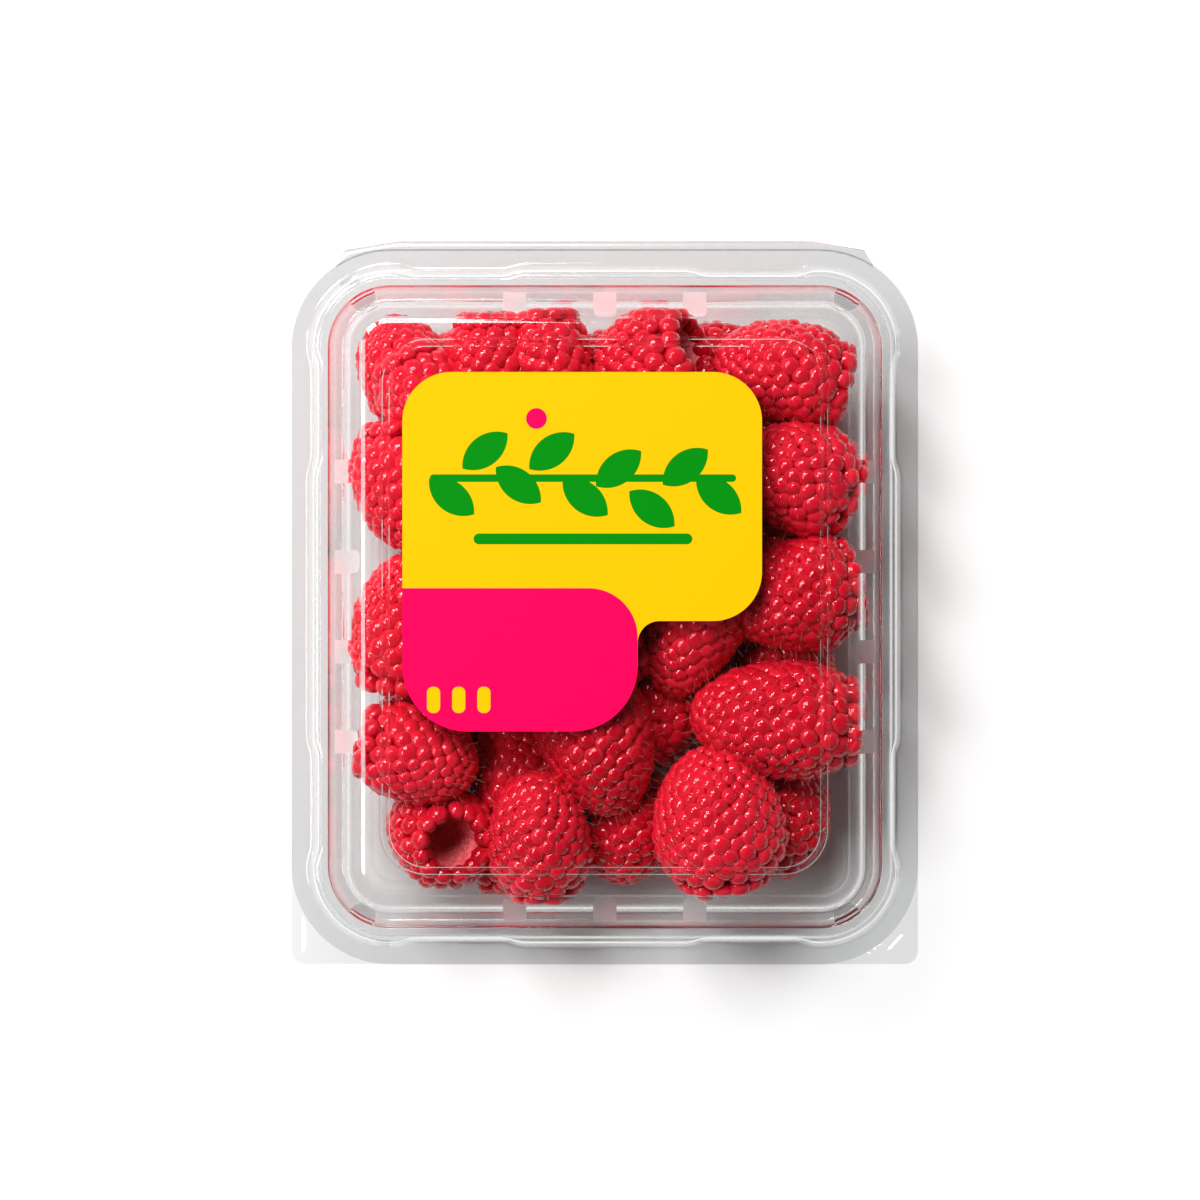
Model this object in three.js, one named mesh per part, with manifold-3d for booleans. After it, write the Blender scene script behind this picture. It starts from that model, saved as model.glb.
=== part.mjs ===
// Punnet of raspberries: a shut clear hinged pack of moulded sheet, its label and its heap of berries.
// Millimetres, +Z up, +Y towards the hinge. The origin is on the floor under the middle of the pack.
import * as THREE from 'three';
import Module from 'manifold-3d';
import { mergeVertices } from 'three/addons/utils/BufferGeometryUtils.js';

const wasm = await Module();
wasm.setup();

// Driving dimensions of the pack
const PACK_WIDTH = 116;
const PACK_DEPTH = 132.4; // of the flanges, without the hinge strip
const FLANGE_TOP = 25.6; // top of the tray's flange above the floor
const SHEET = 0.5; // wall thickness of tray and lid
const FLANGE_GAP = 0.3; // between the two flanges
const CORNER_RADIUS = 18.4; // lid outline, and the tray's corners beside the hinge
const TAB_RADIUS = 2.5; // the tray's front corners, left nearly square as pull tabs
const CORNER_STEPS = 6;

// Lid profile: distance in from the outline, and height above the lid's flange
const RIM_HEIGHT = 3.0;
const RIM_FOOT = 3.0;
const RIM_OUTER = 4.6;
const RIM_INNER = 7.5;
const GROOVE_OUTER = 7.9;
const GROOVE_HEIGHT = 1.4;
const DOME_FOOT = 9.6;
const WALL_TOP = 10.4;
const WALL_TOP_HEIGHT = 5.2;
const SHOULDER_END = 14.2;
const DOME_HEIGHT = 7.7;
const PANEL_FOOT = 16.8;
const PANEL_EDGE = 18.3;
const PANEL_HEIGHT = 8.4;
const PANEL_RADIUS = 8.8;

// Tray profile: distance in from the outline, and height
const BEAD_FOOT = 4.2;
const BEAD_OUTER = 5.3;
const BEAD_INNER = 6.5;
const BEAD_HEIGHT = 2.3; // above the flange
const WALL_INSET = 6.95; // inner face of the wall, just under the bead
const WALL_FOOT_INSET = 13.2;
const FLOOR_FILLET = 4;

// Vent slots in the lid's wall and shoulder
const SLOT_WIDTH = 4.3;
const SLOT_PITCH = 16.6;
const SLOT_OUTER = 8.3;
const SLOT_INNER = 14.7;
const SLOT_END_RADIUS = 2;
const SIDE_SLOTS = 4;
const END_SLOTS = 3;

// Corner studs on the lid's rim, and the raised marks on the pull tabs
const STUD_RADIUS = 2.5;
const STUD_X = 44.7;
const STUD_Y = 57;
const STUD_RISE = 0.35;
const MARK_NEAR = 2.3;
const MARK_FAR = 8.2;
const MARK_RISE = 0.4;

// Hinge: a folded strip behind the two flanges, rolled round the axis
const HINGE_Y = PACK_DEPTH / 2 + 0.95;
const HINGE_Z = FLANGE_TOP + FLANGE_GAP / 2;
const HINGE_RADIUS = 0.5;
const HINGE_WIDTH = 78;
const HINGE_FOOT_WIDTH = 96;

// Label on the lid: a large field and a smaller one hanging from its left end
const LABEL_THICKNESS = 0.2;
const LABEL_GAP = 0.1;
const LABEL_LEFT = -37;
const LABEL_RIGHT = 28.7;
const LABEL_TOP = 42.9;
const LABEL_BOTTOM = -2.6;
const LABEL_RADIUS = 9;
const FOOT_RIGHT = 6;
const FOOT_BOTTOM = -22.8;
const FOOT_RADIUS = 12;
const FOOT_FILLET = 4;

// Berries
const BERRY_CLEARANCE = 0.4; // to the tray and the lid
const BERRY_FULLNESS = 2.6; // exponent of the outline: 2 is an ellipse, more is blunter
const BERRY_TAPER = 0.17; // how much narrower the tip half is
const BERRY_DETAIL = 2;
const KNOB_HEIGHT = 0.7; // relief of the drupelets
const HOLLOW_SHARE = 0.42; // width of the hollow, of the berry's width
const HOLLOW_DEPTH = 0.6; // of its length
const CORE_INSET = 23;
const CORE_FLOOR = 3;
const CORE_TOP = 22;

const CLEAR_SHEET = { color: 0xe9eced, roughness: 0.08, metalness: 0, transparent: true, opacity: 0.35 };
const LABEL_PAPER = { color: 0xfdd000, roughness: 0.45, metalness: 0 };
const BERRY_SKIN = { color: 0xc81a30, roughness: 0.35, metalness: 0 };

// Upper berries, then the lower ones. x, y and z are the middle, yaw and lift turn the tip from +X
// towards +Y and then up, and open berries show their hollow.
const BERRIES = [
  { x: -37.4, y: 44.2, z: 17.5, long: 22, wide: 18, yaw: 115, lift: 0 },
  { x: -33, y: 38, z: 24, long: 21, wide: 16.5, yaw: -60, lift: 5 },
  { x: -21.6, y: 44.2, z: 22, long: 21.5, wide: 16.5, yaw: -88, lift: -5 },
  { x: -9.8, y: 44.4, z: 23, long: 22.5, wide: 16, yaw: -80, lift: 5 },
  { x: 7.6, y: 45, z: 22, long: 21, wide: 19.5, yaw: 184, lift: -28, open: true },
  { x: 33.2, y: 44, z: 22, long: 26, wide: 19.5, yaw: 168, lift: 5 },
  { x: 36.2, y: 24.6, z: 22.5, long: 22.5, wide: 21.5, yaw: 158, lift: 18 },
  { x: 34.8, y: 2, z: 22, long: 27, wide: 22, yaw: 192, lift: 4 },
  { x: 32.2, y: -20.8, z: 22.3, long: 33, wide: 22.5, yaw: 177, lift: 2 },
  { x: 21, y: -39.4, z: 21.5, long: 28, wide: 24.5, yaw: 98, lift: 14 },
  { x: 16, y: -5.2, z: 21.5, long: 25, wide: 19.5, yaw: 248, lift: -4 },
  { x: -1, y: -26, z: 21, long: 27, wide: 23.5, yaw: -76, lift: 0 },
  { x: -12.2, y: -42.4, z: 21.5, long: 25.5, wide: 19.5, yaw: 94, lift: 28 },
  { x: -30.8, y: -41.8, z: 14.5, long: 21, wide: 20.5, yaw: -96, lift: -52, open: true },
  { x: -35, y: -27.6, z: 23, long: 23.5, wide: 18, yaw: -16, lift: -6 },
  { x: -37.4, y: -3.4, z: 22, long: 27, wide: 19, yaw: 82, lift: 3 },
  { x: -36.8, y: 22.6, z: 22.3, long: 24.5, wide: 21, yaw: -84, lift: 4 },
  { x: -17, y: 23, z: 21, long: 22, wide: 19, yaw: 20, lift: 0 },
  { x: 0.5, y: 27, z: 20.5, long: 22, wide: 18, yaw: -60, lift: 0 },
  { x: 17, y: 26.5, z: 21, long: 20, wide: 18, yaw: 75, lift: 0 },
  { x: -18, y: 4.5, z: 21, long: 22, wide: 19, yaw: 160, lift: 0 },
  { x: 0, y: 8.5, z: 21, long: 21, wide: 19, yaw: 30, lift: 0 },
  { x: 17, y: 11, z: 20, long: 19, wide: 16, yaw: 0, lift: 0 },
  { x: -18.5, y: -13.5, z: 20.5, long: 21, wide: 18.5, yaw: -30, lift: 0 },
  { x: -1, y: -9, z: 20, long: 18, wide: 17, yaw: 200, lift: 0 },
  { x: 33.4, y: -39.2, z: 11.5, long: 21, wide: 19.5, yaw: 62, lift: -10 },
  { x: 3.6, y: -42.2, z: 11.5, long: 21, wide: 19.5, yaw: -90, lift: 0 },
  { x: -16.4, y: -29.5, z: 12, long: 22, wide: 19, yaw: 100, lift: 10 },
  { x: 14.5, y: -24, z: 11.5, long: 21, wide: 18.5, yaw: 60, lift: 0 },
  { x: -33.4, y: -21.5, z: 10.8, long: 22, wide: 19, yaw: 85, lift: 0 },
  { x: 34.4, y: -14.6, z: 10.8, long: 22, wide: 19, yaw: -80, lift: 0 },
  { x: -34.4, y: 2, z: 10.8, long: 23, wide: 19, yaw: 80, lift: 0 },
  { x: 34.6, y: 10, z: 10.8, long: 22.5, wide: 19, yaw: 95, lift: 0 },
  { x: -34.2, y: 26, z: 10.8, long: 22, wide: 19, yaw: -95, lift: 0 },
  { x: 34, y: 33.5, z: 10.8, long: 22, wide: 19.5, yaw: -70, lift: 0 },
  { x: -23, y: 44, z: 10.6, long: 21, wide: 18.5, yaw: 8, lift: 0 },
  { x: 1, y: 44, z: 10.6, long: 22, wide: 18.5, yaw: 172, lift: 0 },
  { x: 21, y: 45.4, z: 10.2, long: 19, wide: 17, yaw: 15, lift: 0 },
  { x: -13.6, y: 24, z: 10.4, long: 22, wide: 18.5, yaw: 45, lift: 0 },
  { x: 12.6, y: 24.6, z: 10.4, long: 22, wide: 18.5, yaw: -35, lift: 0 },
  { x: -13, y: 0, z: 10.4, long: 22, wide: 18.5, yaw: 110, lift: 0 },
  { x: 12.4, y: 0, z: 10.4, long: 22, wide: 18.5, yaw: 70, lift: 0 },
  { x: -15.6, y: -46.6, z: 9.4, long: 19, wide: 16.5, yaw: 12, lift: 0 },
];

// One closed outline at a height: CORNER_STEPS + 1 points round each corner, counterclockwise from above.
function ring(halfWidth, halfDepth, frontRadius, backRadius, z) {
  const corners = [
    { x: 1, y: 1, start: 0, radius: backRadius },
    { x: -1, y: 1, start: 90, radius: backRadius },
    { x: -1, y: -1, start: 180, radius: frontRadius },
    { x: 1, y: -1, start: 270, radius: frontRadius },
  ];
  const points = [];
  for (const corner of corners) {
    const middleX = corner.x * (halfWidth - corner.radius);
    const middleY = corner.y * (halfDepth - corner.radius);
    for (let step = 0; step <= CORNER_STEPS; step += 1) {
      const angle = THREE.MathUtils.degToRad(corner.start + (90 * step) / CORNER_STEPS);
      const x = middleX + corner.radius * Math.cos(angle);
      const y = middleY + corner.radius * Math.sin(angle);
      points.push(new THREE.Vector3(x, y, z));
    }
  }
  return points;
}

// The same outline moved in by a distance, with its corners rounded by the given rule.
function insetRing(inset, z, radiusAt, frontRadiusAt = radiusAt) {
  const halfWidth = PACK_WIDTH / 2 - inset;
  const halfDepth = PACK_DEPTH / 2 - inset;
  return ring(halfWidth, halfDepth, frontRadiusAt(inset), radiusAt(inset), z);
}

// A closed body through rings that lead from the middle of its top, round its edge, to the middle below.
function loft(rings) {
  const count = rings[0].length;
  const vertices = [];
  for (const points of rings) {
    for (const point of points) {
      vertices.push(point.x, point.y, point.z);
    }
  }
  const last = rings.length - 1;
  const topMiddle = vertices.length / 3;
  vertices.push(0, 0, rings[0][0].z);
  vertices.push(0, 0, rings[last][0].z);
  const faces = [];
  for (let i = 0; i < count; i += 1) {
    const next = (i + 1) % count;
    faces.push(topMiddle, i, next);
    faces.push(topMiddle + 1, last * count + next, last * count + i);
    for (let k = 0; k < last; k += 1) {
      const inner = k * count;
      const outer = inner + count;
      faces.push(inner + i, outer + i, outer + next);
      faces.push(inner + i, outer + next, inner + next);
    }
  }
  const geometry = new THREE.BufferGeometry();
  geometry.setAttribute('position', new THREE.Float32BufferAttribute(vertices, 3));
  geometry.setIndex(faces);
  return geometry;
}

// The lower face of a sheet whose upper face is a profile of { inset, z } points, outermost first.
function lowerFace(profile) {
  return profile.map((point, i) => {
    const before = profile[Math.max(i - 1, 0)];
    const after = profile[Math.min(i + 1, profile.length - 1)];
    const into = new THREE.Vector2(point.inset - before.inset, point.z - before.z).normalize();
    const out = new THREE.Vector2(after.inset - point.inset, after.z - point.z).normalize();
    if (i === 0) into.copy(out);
    if (i === profile.length - 1) out.copy(into);
    const along = into.clone().add(out).normalize();
    const reach = SHEET / Math.max(along.dot(out), 0.5);
    return { inset: point.inset + along.y * reach, z: point.z - along.x * reach };
  });
}

function toSolid(geometry) {
  const bare = geometry.clone();
  bare.deleteAttribute('normal');
  bare.deleteAttribute('uv');
  const merged = mergeVertices(bare, 1e-4);
  const vertProperties = Float32Array.from(merged.attributes.position.array);
  const triVerts = Uint32Array.from(merged.index.array);
  return new wasm.Manifold(new wasm.Mesh({ numProp: 3, vertProperties, triVerts }));
}

function toGeometry(solid) {
  const mesh = solid.getMesh();
  const geometry = new THREE.BufferGeometry();
  geometry.setAttribute('position', new THREE.BufferAttribute(mesh.vertProperties, 3));
  geometry.setIndex(new THREE.BufferAttribute(mesh.triVerts, 1));
  return geometry;
}

function makeMesh(name, geometry, finish) {
  const flat = geometry.toNonIndexed();
  flat.deleteAttribute('normal');
  flat.computeVertexNormals();
  const mesh = new THREE.Mesh(flat, new THREE.MeshStandardMaterial(finish));
  mesh.name = name;
  return mesh;
}

function extrudeUp(shape, bottom, height, curveSegments = 6) {
  const geometry = new THREE.ExtrudeGeometry(shape, { depth: height, bevelEnabled: false, curveSegments });
  return geometry.translate(0, 0, bottom);
}

function packRadius(inset) {
  return CORNER_RADIUS - inset;
}

// Corners are concentric out to the shoulder, then widen to the label panel's own radius.
function lidRadius(inset) {
  const shoulder = packRadius(SHOULDER_END);
  if (inset <= SHOULDER_END) return packRadius(inset);
  if (inset >= PANEL_FOOT) return PANEL_RADIUS - (inset - PANEL_FOOT);
  const share = (inset - SHOULDER_END) / (PANEL_FOOT - SHOULDER_END);
  return THREE.MathUtils.lerp(shoulder, PANEL_RADIUS, share);
}

function tabRadius(inset) {
  return inset < BEAD_FOOT / 2 ? Math.max(TAB_RADIUS - inset, 1) : packRadius(inset);
}

const LID_FLANGE_TOP = FLANGE_TOP + FLANGE_GAP + SHEET;
const LID_TOP = LID_FLANGE_TOP + PANEL_HEIGHT;

function lidProfile() {
  const points = [
    [0, 0],
    [RIM_FOOT, 0],
    [RIM_FOOT + 0.5, 0.4],
    [RIM_OUTER - 0.3, RIM_HEIGHT - 0.6],
    [RIM_OUTER + 0.4, RIM_HEIGHT],
    [RIM_INNER - 0.3, RIM_HEIGHT],
    [RIM_INNER + 0.25, RIM_HEIGHT - 0.5],
    [GROOVE_OUTER, GROOVE_HEIGHT],
    [DOME_FOOT, GROOVE_HEIGHT],
    [WALL_TOP, WALL_TOP_HEIGHT],
  ];
  const shoulder = 3;
  for (let step = 1; step <= shoulder; step += 1) {
    const turn = (Math.PI / 2) * (step / shoulder);
    const inset = WALL_TOP + (SHOULDER_END - WALL_TOP) * (1 - Math.cos(turn));
    const z = WALL_TOP_HEIGHT + (DOME_HEIGHT - WALL_TOP_HEIGHT) * Math.sin(turn);
    points.push([inset, z]);
  }
  points.push([PANEL_FOOT, DOME_HEIGHT], [PANEL_EDGE, PANEL_HEIGHT], [PANEL_EDGE + 2, PANEL_HEIGHT]);
  return points.map(([inset, height]) => ({ inset, z: LID_FLANGE_TOP + height }));
}

function trayProfile() {
  const wallTop = FLANGE_TOP + BEAD_HEIGHT - 0.5;
  const floor = SHEET;
  const points = [
    [0, FLANGE_TOP],
    [BEAD_FOOT / 2, FLANGE_TOP],
    [BEAD_FOOT, FLANGE_TOP],
    [BEAD_OUTER - 0.3, FLANGE_TOP + BEAD_HEIGHT - 0.4],
    [BEAD_OUTER + 0.2, FLANGE_TOP + BEAD_HEIGHT],
    [BEAD_INNER, FLANGE_TOP + BEAD_HEIGHT],
    [WALL_INSET, wallTop],
  ];
  const fillet = 3;
  for (let step = 0; step <= fillet; step += 1) {
    const turn = (Math.PI / 2) * (step / fillet);
    const inset = WALL_FOOT_INSET + FLOOR_FILLET * (1 - Math.cos(turn));
    points.push([inset, floor + FLOOR_FILLET * (1 - Math.sin(turn))]);
  }
  points.push([WALL_FOOT_INSET + FLOOR_FILLET + 4, floor]);
  return points.map(([inset, z]) => ({ inset, z }));
}

function sheetBody(profile, radiusAt, frontRadiusAt) {
  const top = profile.map(({ inset, z }) => insetRing(inset, z, radiusAt, frontRadiusAt));
  const below = lowerFace(profile).map(({ inset, z }) => insetRing(inset, z, radiusAt, frontRadiusAt));
  return loft([...top.reverse(), ...below]);
}

// A slot's outline across the lid's right wall, reaching in to the shoulder.
function slotShape() {
  const outer = PACK_WIDTH / 2 - SLOT_OUTER;
  const inner = PACK_WIDTH / 2 - SLOT_INNER;
  const half = SLOT_WIDTH / 2;
  const shape = new THREE.Shape();
  shape.moveTo(outer, -half);
  shape.lineTo(outer, half);
  shape.lineTo(inner + SLOT_END_RADIUS, half);
  shape.quadraticCurveTo(inner, half, inner, 0);
  shape.quadraticCurveTo(inner, -half, inner + SLOT_END_RADIUS, -half);
  shape.closePath();
  return shape;
}

function slotCutters() {
  const across = extrudeUp(slotShape(), FLANGE_TOP, 15, 4);
  const cutters = [];
  for (const side of [0, 1]) {
    for (let i = 0; i < SIDE_SLOTS; i += 1) {
      const y = (i - (SIDE_SLOTS - 1) / 2) * SLOT_PITCH;
      cutters.push(across.clone().rotateZ(side * Math.PI).translate(0, y, 0));
    }
    for (let i = 0; i < END_SLOTS; i += 1) {
      const x = (i - (END_SLOTS - 1) / 2) * SLOT_PITCH;
      const reach = (PACK_DEPTH - PACK_WIDTH) / 2;
      const turned = across.clone().translate(reach, 0, 0).rotateZ(Math.PI / 2 + side * Math.PI);
      cutters.push(turned.translate(x, 0, 0));
    }
  }
  return cutters;
}

function studs() {
  const height = SHEET + STUD_RISE;
  const middle = LID_FLANGE_TOP + RIM_HEIGHT - SHEET + height / 2;
  const places = [];
  for (const x of [-STUD_X, STUD_X]) {
    for (const y of [-STUD_Y, STUD_Y]) {
      const stud = new THREE.CylinderGeometry(STUD_RADIUS - 0.4, STUD_RADIUS, height, 16);
      places.push(stud.rotateX(Math.PI / 2).translate(x, y, middle));
    }
  }
  return places;
}

function makeLid() {
  let solid = toSolid(sheetBody(lidProfile(), lidRadius));
  for (const stud of studs()) {
    solid = solid.add(toSolid(stud));
  }
  for (const cutter of slotCutters()) {
    solid = solid.subtract(toSolid(cutter));
  }
  return makeMesh('lid', toGeometry(solid), CLEAR_SHEET);
}

// The strip that joins tray and lid: flat behind the tray's flange, then rolled up round the axis.
function hingeStrip() {
  const back = PACK_DEPTH / 2;
  const shape = new THREE.Shape();
  shape.moveTo(-HINGE_FOOT_WIDTH / 2, back - 1);
  shape.lineTo(HINGE_FOOT_WIDTH / 2, back - 1);
  shape.lineTo(HINGE_FOOT_WIDTH / 2, back);
  shape.lineTo(HINGE_WIDTH / 2, HINGE_Y);
  shape.lineTo(-HINGE_WIDTH / 2, HINGE_Y);
  shape.lineTo(-HINGE_FOOT_WIDTH / 2, back);
  shape.closePath();
  return extrudeUp(shape, FLANGE_TOP - SHEET, SHEET);
}

function hingeRoll() {
  const roll = new THREE.CylinderGeometry(HINGE_RADIUS, HINGE_RADIUS, HINGE_WIDTH, 12);
  return roll.rotateZ(Math.PI / 2).translate(0, HINGE_Y, HINGE_Z);
}

function tabMark(side) {
  const cornerX = (side * PACK_WIDTH) / 2;
  const cornerY = -PACK_DEPTH / 2;
  const shape = new THREE.Shape();
  shape.moveTo(cornerX - side * MARK_NEAR, cornerY + MARK_NEAR);
  shape.lineTo(cornerX - side * MARK_FAR, cornerY + MARK_NEAR);
  shape.lineTo(cornerX - side * MARK_NEAR, cornerY + MARK_FAR);
  shape.closePath();
  return extrudeUp(shape, FLANGE_TOP - SHEET / 2, SHEET / 2 + MARK_RISE);
}

function makeTray() {
  let solid = toSolid(sheetBody(trayProfile(), packRadius, tabRadius));
  for (const piece of [hingeStrip(), hingeRoll(), tabMark(-1), tabMark(1)]) {
    solid = solid.add(toSolid(piece));
  }
  return makeMesh('tray', toGeometry(solid), CLEAR_SHEET);
}

// Anticlockwise from the bottom of the foot, with a fillet where the foot meets the large field.
function labelShape() {
  const right = Math.PI * 2;
  const top = Math.PI / 2;
  const left = Math.PI;
  const bottom = Math.PI * 1.5;
  const shape = new THREE.Shape();
  shape.moveTo(LABEL_LEFT + FOOT_RADIUS, FOOT_BOTTOM);
  shape.absarc(FOOT_RIGHT - FOOT_RADIUS, FOOT_BOTTOM + FOOT_RADIUS, FOOT_RADIUS, bottom, right);
  shape.absarc(FOOT_RIGHT + FOOT_FILLET, LABEL_BOTTOM - FOOT_FILLET, FOOT_FILLET, left, top, true);
  shape.absarc(LABEL_RIGHT - LABEL_RADIUS, LABEL_BOTTOM + LABEL_RADIUS, LABEL_RADIUS, bottom, right);
  shape.absarc(LABEL_RIGHT - LABEL_RADIUS, LABEL_TOP - LABEL_RADIUS, LABEL_RADIUS, 0, top);
  shape.absarc(LABEL_LEFT + LABEL_RADIUS, LABEL_TOP - LABEL_RADIUS, LABEL_RADIUS, top, left);
  shape.absarc(LABEL_LEFT + FOOT_RADIUS, FOOT_BOTTOM + FOOT_RADIUS, FOOT_RADIUS, left, bottom);
  return shape;
}

function makeLabel() {
  const geometry = extrudeUp(labelShape(), LID_TOP + LABEL_GAP, LABEL_THICKNESS, 12);
  return makeMesh('label', toGeometry(toSolid(geometry)), LABEL_PAPER);
}

// A berry along +Z, tip up: a blunt tapering form whose corners stand out by turns as knobs.
function berryBody(berry) {
  const geometry = new THREE.IcosahedronGeometry(1, BERRY_DETAIL);
  geometry.deleteAttribute('normal');
  geometry.deleteAttribute('uv');
  const merged = mergeVertices(geometry, 1e-4);
  const position = merged.attributes.position;
  const point = new THREE.Vector3();
  for (let i = 0; i < position.count; i += 1) {
    point.fromBufferAttribute(position, i).normalize();
    const around = Math.hypot(point.x, point.y);
    const outline = Math.sqrt(1 - Math.abs(point.z) ** BERRY_FULLNESS) * (1 - BERRY_TAPER * point.z);
    const knob = i % 2 === 0 ? 0 : KNOB_HEIGHT;
    const radius = (berry.wide / 2 - knob) * outline;
    const spread = around > 1e-6 ? radius / around : 0;
    position.setXYZ(i, point.x * spread, point.y * spread, point.z * (berry.long / 2 - knob / 2));
  }
  return merged;
}

function berryHollow(berry) {
  const depth = berry.long * HOLLOW_DEPTH;
  const radius = (berry.wide / 2) * HOLLOW_SHARE;
  const outside = 2;
  const hollow = new THREE.CylinderGeometry(radius * 0.45, radius * 1.1, depth + outside, 9);
  return hollow.rotateX(Math.PI / 2).translate(0, 0, (depth - outside) / 2 - berry.long / 2);
}

function placeBerry(geometry, berry) {
  geometry.rotateY(THREE.MathUtils.degToRad(90 - berry.lift));
  geometry.rotateZ(THREE.MathUtils.degToRad(berry.yaw));
  return geometry.translate(berry.x, berry.y, berry.z);
}

// The room for the berries: inside the tray and under the lid, less their clearance.
function berryRoom() {
  const below = lowerFace(lidProfile());
  const dome = below.slice(9).map(({ inset, z }) => {
    const clear = inset + BERRY_CLEARANCE;
    return insetRing(clear, z - BERRY_CLEARANCE, lidRadius);
  });
  const neckInset = below[9].inset + BERRY_CLEARANCE;
  const neck = insetRing(neckInset, FLANGE_TOP + 0.8, lidRadius);
  const wide = insetRing(WALL_INSET + 1, FLANGE_TOP - 1.5, packRadius);
  const foot = insetRing(WALL_FOOT_INSET + BERRY_CLEARANCE + 0.2, FLOOR_FILLET, packRadius);
  const floorInset = WALL_FOOT_INSET + FLOOR_FILLET;
  const floor = insetRing(floorInset, SHEET + BERRY_CLEARANCE, () => 1.5);
  return loft([...dome.reverse(), neck, wide, foot, floor]);
}

function berryCore() {
  const top = insetRing(CORE_INSET, CORE_TOP, () => 8);
  const bottom = insetRing(CORE_INSET, CORE_FLOOR, () => 8);
  return loft([top, bottom]);
}

function makeBerries() {
  let solid = toSolid(berryCore());
  for (const berry of BERRIES) {
    solid = solid.add(toSolid(placeBerry(berryBody(berry), berry)));
  }
  for (const berry of BERRIES.filter(({ open }) => open)) {
    solid = solid.subtract(toSolid(placeBerry(berryHollow(berry), berry)));
  }
  solid = solid.intersect(toSolid(berryRoom()));
  const largest = solid.decompose().sort((a, b) => b.volume() - a.volume())[0];
  return makeMesh('berries', toGeometry(largest), BERRY_SKIN);
}

// The pieces are drawn round the middle of the flange, and the whole moves forward by half the hinge strip.
const punnet = new THREE.Group();
punnet.add(makeTray(), makeLid(), makeLabel(), makeBerries());
punnet.position.y = -(HINGE_Y + HINGE_RADIUS - PACK_DEPTH / 2) / 2;

export default punnet;
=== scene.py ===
import functools
import math
import random

import bmesh
import bpy
from bpy.props import FloatProperty, FloatVectorProperty, IntProperty, PointerProperty
from mathutils import Euler, Matrix, Vector
from mathutils.kdtree import KDTree


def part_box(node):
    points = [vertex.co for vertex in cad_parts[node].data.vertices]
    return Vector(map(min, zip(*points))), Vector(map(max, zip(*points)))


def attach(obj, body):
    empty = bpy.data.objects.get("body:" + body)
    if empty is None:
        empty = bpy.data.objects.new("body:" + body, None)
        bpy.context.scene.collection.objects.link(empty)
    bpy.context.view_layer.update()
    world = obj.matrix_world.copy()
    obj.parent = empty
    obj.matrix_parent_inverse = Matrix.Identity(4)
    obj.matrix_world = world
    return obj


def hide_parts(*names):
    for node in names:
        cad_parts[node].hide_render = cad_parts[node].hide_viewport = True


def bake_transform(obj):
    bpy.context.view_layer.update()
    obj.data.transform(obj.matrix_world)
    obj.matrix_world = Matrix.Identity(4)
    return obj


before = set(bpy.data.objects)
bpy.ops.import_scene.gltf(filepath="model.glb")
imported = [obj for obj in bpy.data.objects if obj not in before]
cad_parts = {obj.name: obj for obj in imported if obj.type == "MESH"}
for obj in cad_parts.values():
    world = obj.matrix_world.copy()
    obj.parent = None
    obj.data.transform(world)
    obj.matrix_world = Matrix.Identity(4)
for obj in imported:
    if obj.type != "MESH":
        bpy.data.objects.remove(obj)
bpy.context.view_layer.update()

bl_info = {
    "name": "Punnet of Raspberries",
    "version": (1, 0, 0),
    "blender": (4, 5, 0),
    "location": "View3D > Sidebar > Punnet",
    "description": "Builds a clear hinged punnet filled with raspberries",
    "category": "Add Mesh",
}

MM = 0.001

# Places taken from the frame. The lid's flange is its lowest face, and both outlines share one middle.
LID_LOW, LID_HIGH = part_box("lid")
MIDDLE = (LID_LOW + LID_HIGH) / 2
HALF_WIDTH = (LID_HIGH.x - LID_LOW.x) / 2
HALF_DEPTH = (LID_HIGH.y - LID_LOW.y) / 2
LID_FLANGE = LID_LOW.z
LID_BASE = LID_FLANGE + 0.5 * MM
PANEL_TOP = LID_HIGH.z
FLANGE_GAP = 0.3 * MM
TRAY_FLANGE = LID_FLANGE - FLANGE_GAP
HINGE_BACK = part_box("tray")[1].y

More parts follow.
